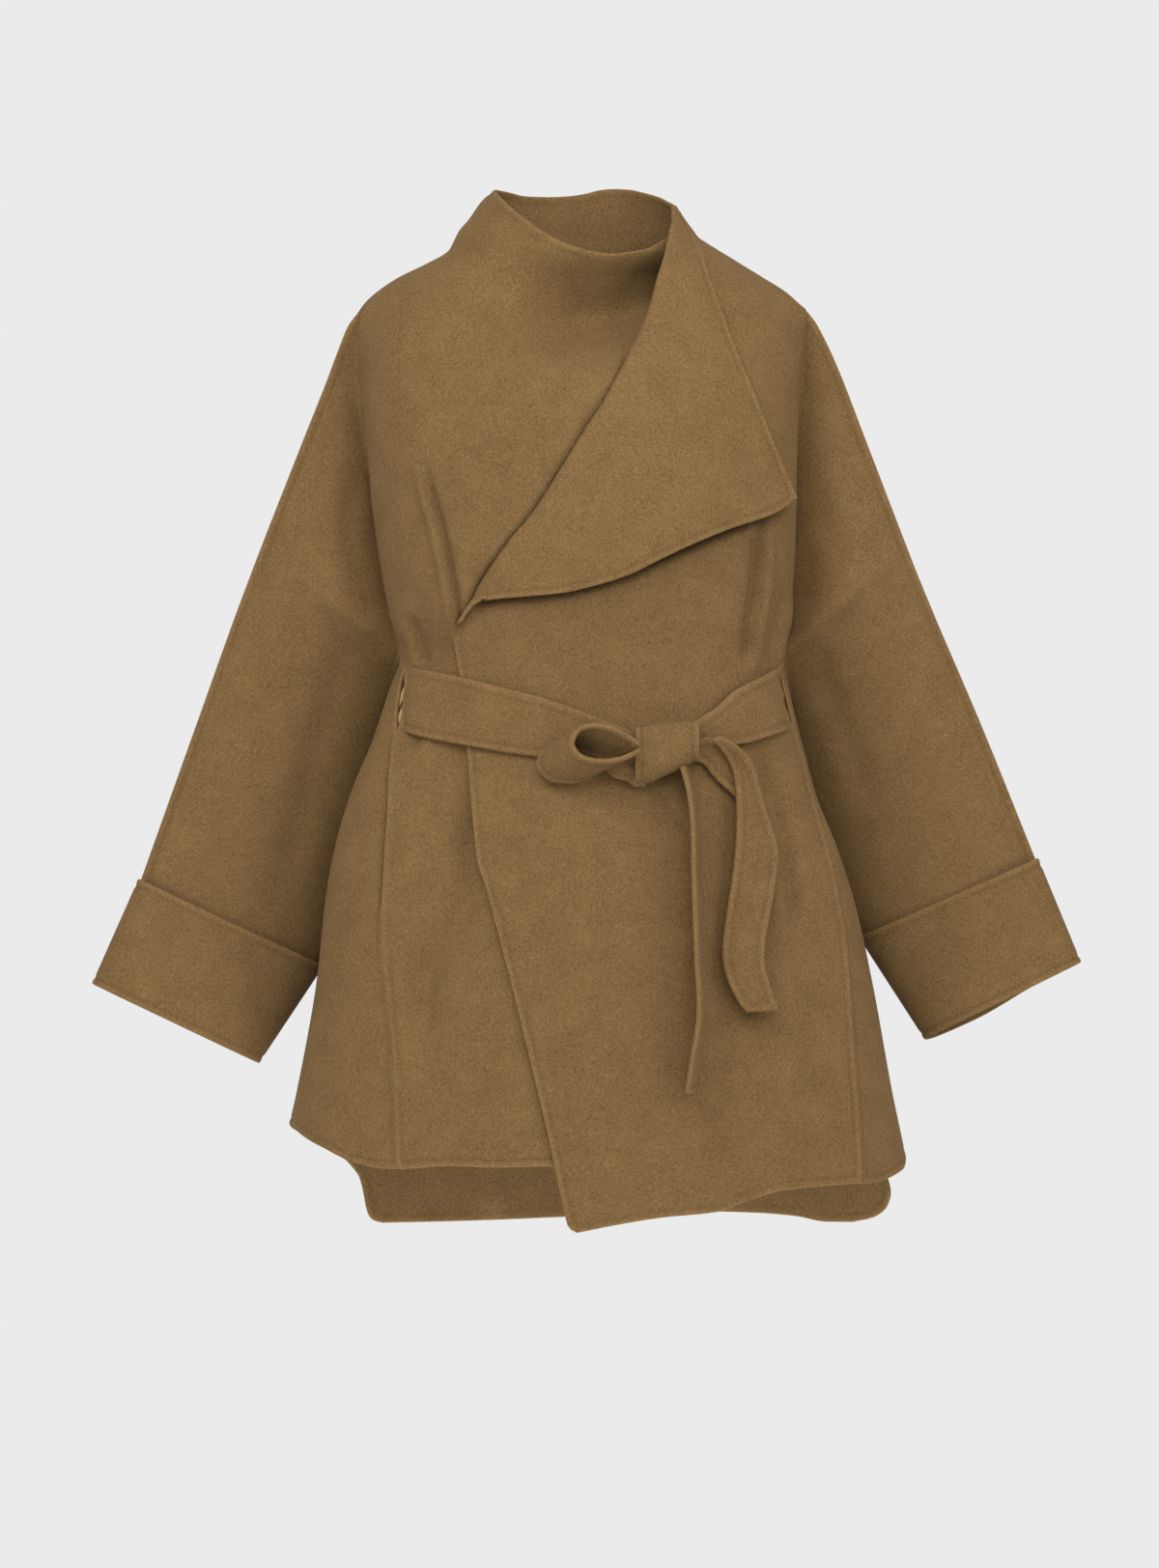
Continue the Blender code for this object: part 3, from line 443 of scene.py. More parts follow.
def wool(name, dark, light, nap=0.35):
    """Brushed wool: a fine heather of two shades, slow uneven tone, and a short nap."""
    m = bpy.data.materials.new(name)
    m.use_nodes = True
    t = m.node_tree
    shader = t.nodes["Principled BSDF"]
    shader.inputs["Roughness"].default_value = 0.92
    shader.inputs["Specular IOR Level"].default_value = 0.06
    shader.inputs["Sheen Weight"].default_value = 0.05
    shader.inputs["Sheen Roughness"].default_value = 0.45
    shader.inputs["Sheen Tint"].default_value = (0.95, 0.74, 0.48, 1)
    at = node(t, "ShaderNodeTexCoord")
    fine = node(t, "ShaderNodeTexNoise")
    fine.inputs["Scale"].default_value, fine.inputs["Detail"].default_value, fine.inputs["Roughness"].default_value = 560.0, 3.0, 0.7
    slow = node(t, "ShaderNodeTexNoise")
    slow.inputs["Scale"].default_value, slow.inputs["Detail"].default_value = 38.0, 3.0
    ramp = node(t, "ShaderNodeValToRGB")
    ramp.color_ramp.elements[0].position, ramp.color_ramp.elements[1].position = 0.28, 0.72
    ramp.color_ramp.elements[0].color, ramp.color_ramp.elements[1].color = (*dark, 1), (*light, 1)
    both = node(t, "ShaderNodeMath", operation="MULTIPLY_ADD")
    both.inputs[1].default_value = 0.16
    sum_ = node(t, "ShaderNodeMath", operation="MULTIPLY_ADD")
    sum_.inputs[1].default_value, sum_.inputs[2].default_value = 0.84, 0.0
    t.links.new(at.outputs["Object"], fine.inputs["Vector"])
    t.links.new(at.outputs["Object"], slow.inputs["Vector"])
    t.links.new(fine.outputs["Fac"], sum_.inputs[0])
    t.links.new(slow.outputs["Fac"], both.inputs[0])
    t.links.new(sum_.outputs[0], both.inputs[2])
    t.links.new(both.outputs[0], ramp.inputs["Fac"])
    # Painted light and shade: the "rim" attribute scales the base colour. It makes the colour lighter for painted
    # highlights on edges, on the lapel and on the collar's inner face, and darker for painted shade in stitched grooves
    # and pocket mouths.
    rim = node(t, "ShaderNodeAttribute", attribute_name="rim")
    painted_shading_gain = node(t, "ShaderNodeMath", operation="MULTIPLY_ADD")
    painted_shading_gain.inputs[1].default_value, painted_shading_gain.inputs[2].default_value = 0.15, 1.0
    colour_with_painted_shading = node(t, "ShaderNodeVectorMath", operation="SCALE")
    t.links.new(rim.outputs["Fac"], painted_shading_gain.inputs[0])
    t.links.new(ramp.outputs["Color"], colour_with_painted_shading.inputs[0])
    t.links.new(painted_shading_gain.outputs[0], colour_with_painted_shading.inputs["Scale"])
    t.links.new(colour_with_painted_shading.outputs[0], shader.inputs["Base Color"])
    fuzz = node(t, "ShaderNodeTexNoise")
    fuzz.inputs["Scale"].default_value, fuzz.inputs["Detail"].default_value, fuzz.inputs["Roughness"].default_value = 620.0, 4.0, 0.7
    bump = node(t, "ShaderNodeBump")
    bump.inputs["Strength"].default_value, bump.inputs["Distance"].default_value = nap, 0.0012
    t.links.new(at.outputs["Object"], fuzz.inputs["Vector"])
    t.links.new(fuzz.outputs["Fac"], bump.inputs["Height"])
    t.links.new(bump.outputs["Normal"], shader.inputs["Normal"])
    return m


def striped(name):
    """Woven binding: slanting cream and rust stripes."""
    m = bpy.data.materials.new(name)
    m.use_nodes = True
    t = m.node_tree
    shader = t.nodes["Principled BSDF"]
    shader.inputs["Roughness"].default_value = 0.7
    shader.inputs["Specular IOR Level"].default_value = 0.1
    at, part = node(t, "ShaderNodeTexCoord"), node(t, "ShaderNodeSeparateXYZ")
    across, slant, count, wave = (node(t, "ShaderNodeMath", operation=kind) for kind in ("ABSOLUTE", "MULTIPLY_ADD", "MULTIPLY", "FRACT"))
    slant.inputs[1].default_value = 0.45
    count.inputs[1].default_value = 1 / 0.0065
    ramp = node(t, "ShaderNodeValToRGB")
    ramp.color_ramp.interpolation = "CONSTANT"
    ramp.color_ramp.elements[0].color = (0.075, 0.016, 0.006, 1)
    ramp.color_ramp.elements[1].position, ramp.color_ramp.elements[1].color = 0.40, (0.26, 0.205, 0.09, 1)
    t.links.new(at.outputs["Object"], part.inputs[0])
    t.links.new(part.outputs["X"], across.inputs[0])
    t.links.new(part.outputs["Z"], slant.inputs[0])
    t.links.new(across.outputs[0], slant.inputs[2])
    t.links.new(slant.outputs[0], count.inputs[0])
    t.links.new(count.outputs[0], wave.inputs[0])
    t.links.new(wave.outputs[0], ramp.inputs["Fac"])
    t.links.new(ramp.outputs["Color"], shader.inputs["Base Color"])
    return m


WOOL = wool("wool", (0.066, 0.0365, 0.0130), (0.174, 0.1045, 0.0425))
BINDING = striped("binding")

# ---- body panels

SIDE = {"right": (180.0, 1.0), "left": (360.0, -1.0)}


def row_heights(hem, rim):
    parts = [hem + (SLIT_LOW_Z - hem) * steps(N["low"]) ** 1.35, np.linspace(SLIT_LOW_Z, SLIT_TOP_Z, N["slit"] + 1)[1:],
             np.linspace(SLIT_TOP_Z, UNDERARM_Z, N["under"] + 1)[1:], np.linspace(UNDERARM_Z, SHOULDER_Z, N["arm"] + 1)[1:],
             np.linspace(SHOULDER_Z, NECK_Z, N["shoulder"] + 1)[1:], np.linspace(NECK_Z, rim, N["collar"] + 1)[1:]]
    return np.concatenate(parts)


def arm_angle(which, column, z, front):
    base, sense = SIDE[which]
    base = 0.0 if front and which == "left" else base
    table = np.array(ARMHOLE, float)
    share = (z - UNDERARM_Z) / (SHOULDER_Z - UNDERARM_Z)
    return base + sense * smooth(table[:, 0], table[:, column], share)


def upper_angles(which, column, z, front):
    """Angles of a panel's side edge from the underarm up: armhole, shoulder and the side of the collar."""
    base, sense = SIDE[which]
    base = 0.0 if front and which == "left" else base
    last = np.array(ARMHOLE, float)[-1, column]
    over = base + sense * last * (1 - ease((z - SHOULDER_Z) / 24.0))
    return np.where(z <= SHOULDER_Z, arm_angle(which, column, np.minimum(z, SHOULDER_Z), front), over)


def side_edge(which, seam, hem_z, rim, front=True):
    z = row_heights(hem_z, rim)
    low = np.array(seam, float)
    a = angle_at(smooth(low[:, 1], low[:, 0], np.minimum(z, SLIT_TOP_Z)), np.minimum(z, SLIT_TOP_Z))
    up = upper_angles(which, 1, z, front)
    slant = ease((z - SLIT_TOP_Z) / (UNDERARM_Z - SLIT_TOP_Z))
    return np.stack([a + (up - a) * slant, z], -1)


def set_apart(edge, by):
    a, z = edge.T
    degree = np.linalg.norm(on_form(a + 1, z) - on_form(a - 1, z), axis=-1) / 2
    moved = edge.copy()
    moved[:, 0] += np.asarray(by) / degree
    return moved


def slit_open(z, pocket):
    """How far a side seam's edge stands back: a little at a seam, more at the pocket mouth and at the belt slit."""
    mid = (SLIT_LOW_Z + SLIT_TOP_Z) / 2
    slit = SLIT_HALF * np.clip(1 - ((z - mid) / 27.0) ** 2, 0, 1) ** 0.5
    return np.maximum(np.maximum(slit, pocket_mouth(z, pocket)), 0.35)


def pocket_mouth(z, pocket):
    low, top = pocket
    return 2.8 * np.clip(1 - ((z - (low + top) / 2) / ((top - low) / 2)) ** 2, 0, 1) ** 0.5


POCKET = {"right": (-568.0, -421.0), "left": (-578.0, -459.0)}
mid_out = WALL / 2

# Right front, under.
right_first = side_edge("right", RIGHT_SEAM, RIGHT_SEAM[0][1], 88)
first = right_first.copy()
below = right_first[:, 1] < UNDERARM_Z
first[below] = set_apart(right_first, -slit_open(right_first[:, 1], POCKET["right"]))[below]
v = (right_first[:, 1] - right_first[0, 1]) / (right_first[-1, 1] - right_first[0, 1])
hidden_z = RIGHT_HEM[-1][1] + v * (COLLAR_FRONT[-1][1] - RIGHT_HEM[-1][1])
hidden = np.stack([angle_at(np.interp(hidden_z, (-800, 46), (OVERLAP_END, COLLAR_FRONT[-1][0])), hidden_z), hidden_z], -1)
u = spread(84, 240)
low, top = front_line(RIGHT_HEM, u), front_line(COLLAR_FRONT, u)
low[0], low[-1], top[0], top[-1] = first[0], hidden[0], first[-1], hidden[-1]
net = patch(low, top, first, hidden, u, v)
flat = on_form(net[..., 0], net[..., 1])
dent = crease_depth(flat[..., [0, 2]], CREASES_RIGHT_FRONT)
near_edge = ease(np.linspace(0, 1, len(u)) / 0.12)[None, :]
seam_ridge = SEAM_PROUD * np.exp(-((u * 240) / 4.0) ** 2)[None, :] * (net[:, :1, 1] < SLIT_LOW_Z)
right_front = on_form(net[..., 0], net[..., 1], mid_out + dent * near_edge + seam_ridge)
# The funnel sinks back where it meets the chest, and the front rises to meet the lapel's roll.
d, s, side = off_line(flat[..., [0, 2]], line(HOLLOW, steps(16)))
right_front[..., 1] += HOLLOW_DEEP * np.exp(-(d / np.where(side > 0, HOLLOW_ABOVE, HOLLOW_BELOW)) ** 2) * ease(s / 0.45) * ease((42 - flat[..., 2]) / 30)
table = np.array(ROLL_LINE, float)
off = (flat[..., 0] - smooth(table[:, 1], table[:, 0], flat[..., 2])) * 0.8
swell = SWELL * ease((-35 - flat[..., 2]) / 70) * ease((flat[..., 2] + 345) / 60)
right_front[..., 1] -= swell * np.exp(-((off + 4.0) / np.where(off < -4.0, SWELL_LEFT, SWELL_UNDER)) ** 2)

# Left front, on top: from its front edge and the lapel's roll to the side seam, armhole, shoulder and neck.
left_last = side_edge("left", LEFT_SEAM, LEFT_SEAM[0][1], 75)
last = left_last.copy()
below = left_last[:, 1] < UNDERARM_Z
last[below] = set_apart(left_last, slit_open(left_last[:, 1], POCKET["left"]))[below]
n_lapel = ROWS - 1 - ROW_LAPEL
roll_z = np.interp(left_last[ROW_LAPEL:, 1], (left_last[ROW_LAPEL, 1], left_last[-1, 1]), (ROLL_LINE[0][1], ROLL_LINE[-1][1]))
table = np.array(ROLL_LINE, float)
roll = np.stack([smooth(table[:, 1], table[:, 0], roll_z), roll_z], -1)
n_half = n_lapel // 2
reach = np.concatenate([line(LAPEL_LOW[::-1], steps(n_half)), line(LAPEL_EDGE[::-1], steps(n_lapel - n_half))[1:]])
way = reach - roll
length = np.linalg.norm(way, axis=1)
way = way / np.maximum(length, 1e-6)[:, None]
radius = np.minimum(np.interp(np.linspace(0, 1, n_lapel + 1), (0, 0.10, 0.4, 1), (ROLL_FOOT, ROLL_LOW, 5.0, ROLL_TOP)), 0.38 * length)
start = roll + way * radius[:, None]
front_low = line(FRONT_EDGE, steps(ROW_LAPEL))
edge_xz = np.concatenate([front_low[:-1], start])
edge = np.stack([angle_at(edge_xz[:, 0], edge_xz[:, 1]), edge_xz[:, 1]], -1)
u = spread(88, 265)
low = front_line(LEFT_HEM, u)
top = edge[-1] + (last[-1] - edge[-1]) * u[:, None]
low[0], low[-1] = edge[0], last[0]
v = steps(ROWS - 1)
net = patch(low, top, edge, last, u, v)
flat = on_form(net[..., 0], net[..., 1])
dent = crease_depth(flat[..., [0, 2]], CREASES_LEFT_FRONT)
dent = np.where(flat[..., 0] < OVERLAP_END + 25, np.maximum(dent, -2.5), dent)
away = ease((1 - np.linspace(0, 1, len(u))) / 0.10)[None, :]
seam_ridge = SEAM_PROUD * np.exp(-(((1 - u) * 265) / 4.0) ** 2)[None, :] * (net[:, -1:, 1] < SLIT_LOW_Z)
left_front = on_form(net[..., 0], net[..., 1], mid_out + overlap_lift(flat[..., 0]) * (1 - 0.8 * ease((flat[..., 2] - 30) / 40)) + dent * away + seam_ridge)

# Both fronts sink under the lapel's lower edge, so that it stands clear of them.
for net_of, more in ((right_front, 2.0), (left_front, 0.0)):
    flat_xz = net_of[..., [0, 2]]
    d, s, side = off_line(flat_xz, line(UNDER_LAPEL, steps(40)))
    ends = ease(s / 0.06) * ease((1 - s) / 0.06)
    sink = np.interp(flat_xz[..., 0], (-110, 40, 110, 200), (9.0, 10.0, 18.0, 15.0)) + more
    net_of[..., 1] += sink * ends * np.exp(-(d / np.where(side > 0, 30.0, 6.5)) ** 2)

# Lapel: the front rolls over and lies back on itself, its lower edge a little off the front.
bend = np.radians(np.linspace(0, 180, 15))
share = spread(34, 150, start=False)[1:]
low_edge = smooth((0, 0.12, 0.3, 0.55, 0.75, 0.88, 1.0), (0.3, 0.45, 0.5, 0.65, 1.0, 0.8, 0.1), np.linspace(0, 1, n_half + 1))
outer = LAPEL_OUT + LAPEL_LIFT * np.concatenate([low_edge, 0.1 * (1 - steps(n_lapel - n_half - 1))])
rows = []
for k in range(n_lapel + 1):
    r = radius[k]
    turned = start[k] - np.sin(bend)[:, None] * way[k] * r
    laid = start[k] + share[:, None] * (reach[k] - start[k])
    at = np.concatenate([turned, laid])
    # at its foot the lower edge curls round into the front edge
    t = np.concatenate([np.zeros(len(turned)), share])
    at = at + (FOOT_BOW * 4 * t * (1 - t) * (1 - ease(k / 9)))[:, None] * np.array([-0.63, 0.78])
    height = np.concatenate([r * (1 - np.cos(bend)), 2 * r + (outer[k] - 2 * r) * ease(share) ** 0.8])
    p = before_form(at[:, 0], at[:, 1], mid_out + overlap_lift(at[:, 0]) * (1 - 0.8 * ease((at[:, 1] - 30) / 40)) + height)
    fade = np.concatenate([1 - bend / np.pi, np.zeros(len(share))])
    rows.append(p + fade[:, None] * (left_front[ROW_LAPEL + k, 0] - p[0]))
lapel = np.array(rows)

# Back, with its half of the collar, from the left side round to the right.


def back_edge(which, vent, deg, rim):
    z = row_heights(vent[0][1], rim)
    v_pts = np.array(vent, float)
    order = np.argsort(v_pts[:, 1])
    x = smooth(v_pts[order, 1], v_pts[order, 0], np.minimum(z, VENT_Z))
    a = 360 - angle_at(x, np.minimum(z, VENT_Z))
    straight = np.full_like(z, deg)
    low = np.where(z < VENT_Z, a, straight)
    up = upper_angles(which, 2, z, False)
    slant = ease((z - SLIT_TOP_Z) / (UNDERARM_Z - SLIT_TOP_Z))
    return np.stack([low + (up - low) * slant, z], -1)


first, last = back_edge("left", BACK_VENT_LEFT, BACK_SIDE_LEFT_DEG, 75), back_edge("right", BACK_VENT_RIGHT, BACK_SIDE_RIGHT_DEG, 88)
u = np.linspace(0, 1, 104)
low = front_line(BACK_HEM, u) * (-1, 1) + (360, 0)
top = front_line(COLLAR_BACK[::-1], u) * (-1, 1) + (360, 0)
low[0], low[-1], top[0], top[-1] = first[0], last[0], first[-1], last[-1]
net = patch(low, top, first, last, u, steps(ROWS - 1))
flat = on_form(net[..., 0], net[..., 1])
dent = crease_depth(flat[..., [0, 2]], CREASES_BACK)
away = ease(np.minimum(u, 1 - u) / 0.08)[None, :]
back = on_form(net[..., 0], net[..., 1], mid_out + dent * away)

# Sides: from the front side seam, round the widest line, to the back; each ends in a point at the underarm.
sides = {}
for which, seam, deg, hem, vent_deg in (("right", right_first, BACK_SIDE_RIGHT_DEG, RIGHT_SIDE_HEM, SIDE_VENT_RIGHT_DEG),
                                        ("left", left_last, BACK_SIDE_LEFT_DEG - 360, LEFT_SIDE_HEM, SIDE_VENT_LEFT_DEG - 360)):
    sense = SIDE[which][1]
    n = ROW_ARM - 2
    mouth = pocket_mouth(seam[:, 1], POCKET[which])
    near = set_apart(seam, sense * (slit_open(seam[:, 1], POCKET[which]) - 2.5 * mouth))[:n]
    z = np.linspace(0, 1, n)
    hem_z = hem[0][1] if which == "right" else hem[-1][1]
    far_z = np.interp(near[:, 1], (near[0, 1], near[-1, 1]), (hem_z, near[-1, 1]))
    tip = upper_angles(which, 2, np.array([UNDERARM_Z]), False)[0] - (0 if which == "right" else 360)
    far = np.stack([deg + (tip - deg) * ease((far_z - SLIT_TOP_Z) / (UNDERARM_Z - SLIT_TOP_Z)), far_z], -1)
    far[:, 0] += (vent_deg - deg) * ease((VENT_Z - far_z) / 20)
    far = set_apart(far, -sense * 0.15)
    first, last = (far, near) if which == "right" else (near, far)
    u = spread(22, 130, start=True, end=True)
    h = np.array(hem, float)
    hem_a = angle_at(h[:, 0], h[:, 1])
    low = first[0] + (last[0] - first[0]) * u[:, None]
    order = np.argsort(hem_a)
    low[:, 1] = np.interp(low[:, 0], hem_a[order], h[order, 1])
    low[0], low[-1] = first[0], last[0]
    top = first[-1] + (last[-1] - first[-1]) * u[:, None]
    net = patch(low, top, first, last, u, np.linspace(0, 1, n))
    flat = on_form(net[..., 0], net[..., 1])
    wave = 3.0 * np.sin(np.pi * u)[None, :] ** 2 * np.sin((flat[..., 2] + 800) / 130.0 + (0 if which == "right" else 1.2))
    # At the pocket mouth the side lies under the front's edge.
    seam_column = flat[:, -1:] if which == "right" else flat[:, :1]
    off_seam = np.linalg.norm(flat - seam_column, axis=-1)
    under_front = 2.7 * mouth[:n, None] * np.exp(-((off_seam / 7.5) ** 2))
    sides[which] = on_form(net[..., 0], net[..., 1], mid_out + wave * ease((-420 - flat[..., 2]) / 120) - under_front)

# Sleeves: a front and a back layer, from the armhole and under-arm seam out to the over-arm edge.
N_LOWER, ARM_SHARE = 66, 0.43
across = np.concatenate([(1 - np.cos(np.pi * np.linspace(0, 1, 38))) / 2])
sleeves, cuffs = {}, {}
for which, over, under, cuff_end in (("right", RIGHT_OVER, RIGHT_UNDER, RIGHT_CUFF_END), ("left", LEFT_OVER, LEFT_UNDER, LEFT_CUFF_END)):
    share = np.concatenate([np.linspace(0, ARM_SHARE, N["arm"] + 1), np.linspace(ARM_SHARE, 1, N_LOWER + 1)[1:]])
    out_edge = line(over, share)
    under_edge = line(under, steps(N_LOWER))
    thick = np.interp(share, (0, 0.10, ARM_SHARE, 1), (0, 3, 0.9 * SLEEVE_HALF_THICK, SLEEVE_HALF_THICK)) - WALL / 2
    thick = np.maximum(thick, 0)
    full = np.interp(share, (ARM_SHARE - 0.06, ARM_SHARE + 0.12), (1.5, 0.75))
    front_panel = right_front if which == "right" else left_front
    tip = front_panel[ROW_SHOULDER, 0 if which == "right" else -1] / 2 + back[ROW_SHOULDER, -1 if which == "right" else 0] / 2
    out_edge = out_edge + (tip - out_edge[0]) * np.exp(-share / 0.05)[:, None]
    for layer, ahead in (("front", -1.0), ("back", 1.0)):
        if layer == "front":
            root = front_panel[ROW_ARM:ROW_SHOULDER + 1, 0 if which == "right" else -1][::-1]
        else:
            root = back[ROW_ARM:ROW_SHOULDER + 1, -1 if which == "right" else 0][::-1]
        gone = np.exp(-steps(N_LOWER) / 0.10)[:, None]
        lower = under_edge + (0, ahead * 0.9, 0) + (root[-1] - under_edge[0] - (0, ahead * 0.9, 0)) * gone
        inner = np.concatenate([root, lower[1:]])
        outer_edge = out_edge + np.array([0, ahead * 0.9, 0]) * ease(share / 0.04)[:, None]
        w = across[None, :, None]
        net = inner[:, None] + (outer_edge - inner)[:, None] * w
        net[..., 1] += ahead * thick[:, None] * np.abs(np.sin(np.pi * across))[None, :] ** full[:, None]
        width = np.linalg.norm(outer_edge - inner, axis=1)
        run = share * 600.0
        plane = np.stack(np.broadcast_arrays(run[:, None], across[None, :] * width[:, None]), -1)
        for points, depth, wide in SLEEVE_CREASES[which + "_" + layer]:
            q = np.array(points, float)
            q = np.stack([q[:, 0] * 600.0, q[:, 1] * np.interp(q[:, 0], share, width)], -1)
            d, s, _ = off_line(plane, line(q, steps(10)))
            net[..., 1] -= ahead * depth * ease(s / 0.25) * ease((1 - s) / 0.25) * np.exp(-(d / wide) ** 2)
        if layer == "front":
            seam = (1 - across[None, :]) * width[:, None]
            net[..., 1] += 1.6 * np.exp(-((seam - 6.0) / 1.9) ** 2) * ease((share - 0.12) / 0.3)[:, None]
        if (which == "right") != (layer == "front"):
            net = net[:, ::-1]
        sleeves[which + "_sleeve_" + layer] = net
    along = np.array(cuff_end[1], float) - out_edge[-1]
    along /= np.linalg.norm(along)
    ends = [(under_edge[-1] - along * 1.0, out_edge[-1] - along * 1.0), (np.array(cuff_end[0], float), np.array(cuff_end[1], float))]
    a = np.linspace(0, 2 * np.pi, 97)
    w = (1 - np.cos(a)) / 2
    rows = []
    k_rows = np.concatenate([np.array(EDGE_LINES) / 105.0, np.linspace(0.12, 0.88, 18), 1 - np.array(EDGE_LINES)[::-1] / 105.0])
    for k in k_rows:
        inner, outer_pt = (p + (q - p) * k for p, q in zip(*ends))
        way_in = (outer_pt - inner) / np.linalg.norm(outer_pt - inner)
        proud = CUFF_PROUD * (0.75 + 0.25 * k)
        gin, gout = inner - way_in * proud, outer_pt + way_in * proud
        p = gin + (gout - gin) * w[:, None]
        lift = np.sign(np.sin(a)) * np.abs(np.sin(a)) ** 0.75
        p[:, 1] -= lift * (SLEEVE_HALF_THICK + proud)
        behind = np.clip(-lift, 0, 1)
        p += along * ((0.0 if which == "right" else 5.0) * behind * k * ease((0.8 - w) / 0.5))[:, None]
        rows.append(p)
    rings = np.array(rows)
    rings[:, -1] = rings[:, 0]
    cuffs[which] = rings if which == "right" else rings[:, ::-1]

# The upper pieces joined where they meet, so that the cloth runs on from body to sleeve and from front to lapel.
nets = {"right_front": right_front, "left_front": left_front, "lapel": lapel, "back_panel": back, **sleeves}
points, faces = join(nets)
every = np.concatenate(list(faces.values()))
rim = border(every)
held = np.zeros(len(points), bool)
held[rim.reshape(-1)] = True
arm_points = np.concatenate([n[ROW_ARM:ROW_SHOULDER + 1, c] for n, c in ((right_front, 0), (left_front, -1), (back, 0), (back, -1))])
away = np.full(len(points), 1e9)
for s in range(0, len(points), 4000):
    away[s:s + 4000] = np.linalg.norm(points[s:s + 4000, None] - arm_points[None, ::3], axis=-1).min(1)
ridge = np.concatenate([right_front[ROW_SHOULDER:, 0], left_front[ROW_SHOULDER:, -1]])
off_ridge = np.full(len(points), 1e9)
for s in range(0, len(points), 4000):
    off_ridge[s:s + 4000] = np.linalg.norm(points[s:s + 4000, None] - ridge[None], axis=-1).min(1)
kept = ease(off_ridge / 26) * ~held
weight = 0.6 * ease((points[:, 2] + 190) / 130) * ease((75 - away) / 55) * kept
points = relax(points, every, weight, 160)
soft = 0.35 * ease((30 - away) / 26) * kept
points = relax(points, every, soft, 14)
free = held
n = normals(points, every)
ends = {tuple(e) for e in rim.tolist()}
for name in nets:
    own = border(faces[name])
    own = own[[tuple(e) in ends for e in own.tolist()]]
    d = edge_off(points, own)
    # Painted light: the cloth's inner face near the collar is coloured lighter, standing in for light reaching into the
    # neck. The lapel is coloured a little lighter, painted light for its face turned to the lamps.
    inside = 0.8 * ease((points[:, 2] + 20) / 50)
    shell(name, points, faces[name], n, wall=edge_wall(WALL, d), free=free, edge=d, inside=inside, tint=0.3 if name == "lapel" else 0.0)


def lone(name, net, wall=WALL, groove=1.0, **more):
    p, f = join({name: net})
    f = f[name]
    m = normals(p, f)
    e = edge_off(p, border(f))
    return shell(name, p, f, m, wall=edge_wall(wall, e, groove), edge=e, **more)


for which in ("right", "left"):
    seam_edge = sides[which][:, -1 if which == "right" else 0]

    def mouth_shade(p, edge=seam_edge, pocket=POCKET[which]):
        """Painted shade, darker deep in the pocket mouth."""
        off = np.linalg.norm(p[:, None] - edge[None], axis=-1).min(1)
        return -1.7 * pocket_mouth(p[:, 2], pocket) * np.exp(-((off / 4.4) ** 2))

    lone(which + "_side", sides[which], groove=0.7, tint=mouth_shade)
    lone(which + "_cuff", cuffs[which])

# ---- belt

on_right, on_left = WALL + BELT_OUT, OVERLAP_OUT + WALL + BELT_OUT
slit_angle = {"right": right_first[ROW_LOW - 2:ROW_SLIT + 3], "left": left_last[ROW_LOW - 2:ROW_SLIT + 3]}


def belt_run(name, which, top, low, out_share, out):
    s = steps(70)
    tall = spread(10, 54)
    rows = []
    for edge in (low, top):
        p = line(edge, s)
        rows.append(np.stack([angle_at(p[:, 0], p[:, 1]), p[:, 1]], -1))
    net = rows[0][None] + (rows[1] - rows[0])[None] * tall[:, None, None]
    lift = smooth(out_share, out, s)[None, :] + 0.8 * np.sin(np.pi * tall)[:, None]
    return strap(name, [on_form(net[..., 0], net[..., 1], lift)])


belt_run("belt_right_run", "right", BELT_RIGHT_TOP, BELT_RIGHT_LOW, (0, 0.02, 0.06, 0.14, 0.22, 0.32, 0.6, 1),
         (-2.5, 1.5, on_right, on_right, on_right + 2.5, on_left, on_left, on_left))
belt_run("belt_left_run", "left", BELT_LEFT_TOP, BELT_LEFT_LOW, (0, 0.3, 0.7, 0.92, 0.98, 1), (on_left, on_left + 1, on_left - 1, on_right, 1.5, -2.5))
rows = []
tall = spread(8, 52)
for t in tall:
    z = -400 + 52 * t
    a0 = np.interp(z, slit_angle["right"][:, 1], slit_angle["right"][:, 0])
    a1 = np.interp(z, slit_angle["left"][:, 1], slit_angle["left"][:, 0]) + 360
    a = np.linspace(a0 + 1.2, a1 - 1.2, 120)[::-1]
    edge = np.minimum(a - a0, a1 - a)
    rows.append(on_form(a, np.full(len(a), z), -3.2 - 3.0 * ease(edge / 10)))
strap("belt_back_run", [np.array(rows)])

for which in ("right", "left"):
    sense = SIDE[which][1]
    at = slit_angle[which]
    z = np.linspace(SLIT_LOW_Z + 5, SLIT_TOP_Z - 5, 24)
    e = np.stack([np.interp(z, at[:, 1], at[:, 0]), z], -1)
    wide = SLIT_HALF * np.sin(np.pi * np.linspace(0.04, 0.96, 24)) ** 0.6
    cols = [set_apart(e, sense * wide * k) for k in np.linspace(-0.1, 0.95, 6)]
    if which == "right":
        cols = cols[::-1]
    net = np.stack(cols, 1)
    lone(which + "_slit_binding", on_form(net[..., 0], net[..., 1], np.full(net.shape[:2], -0.9)), wall=1.4, groove=0.0, material=BINDING, slot="binding")


def coat_front(x, z, out):
    return before_form(np.asarray(x, float), np.asarray(z, float), np.asarray(out, float))[..., 1]


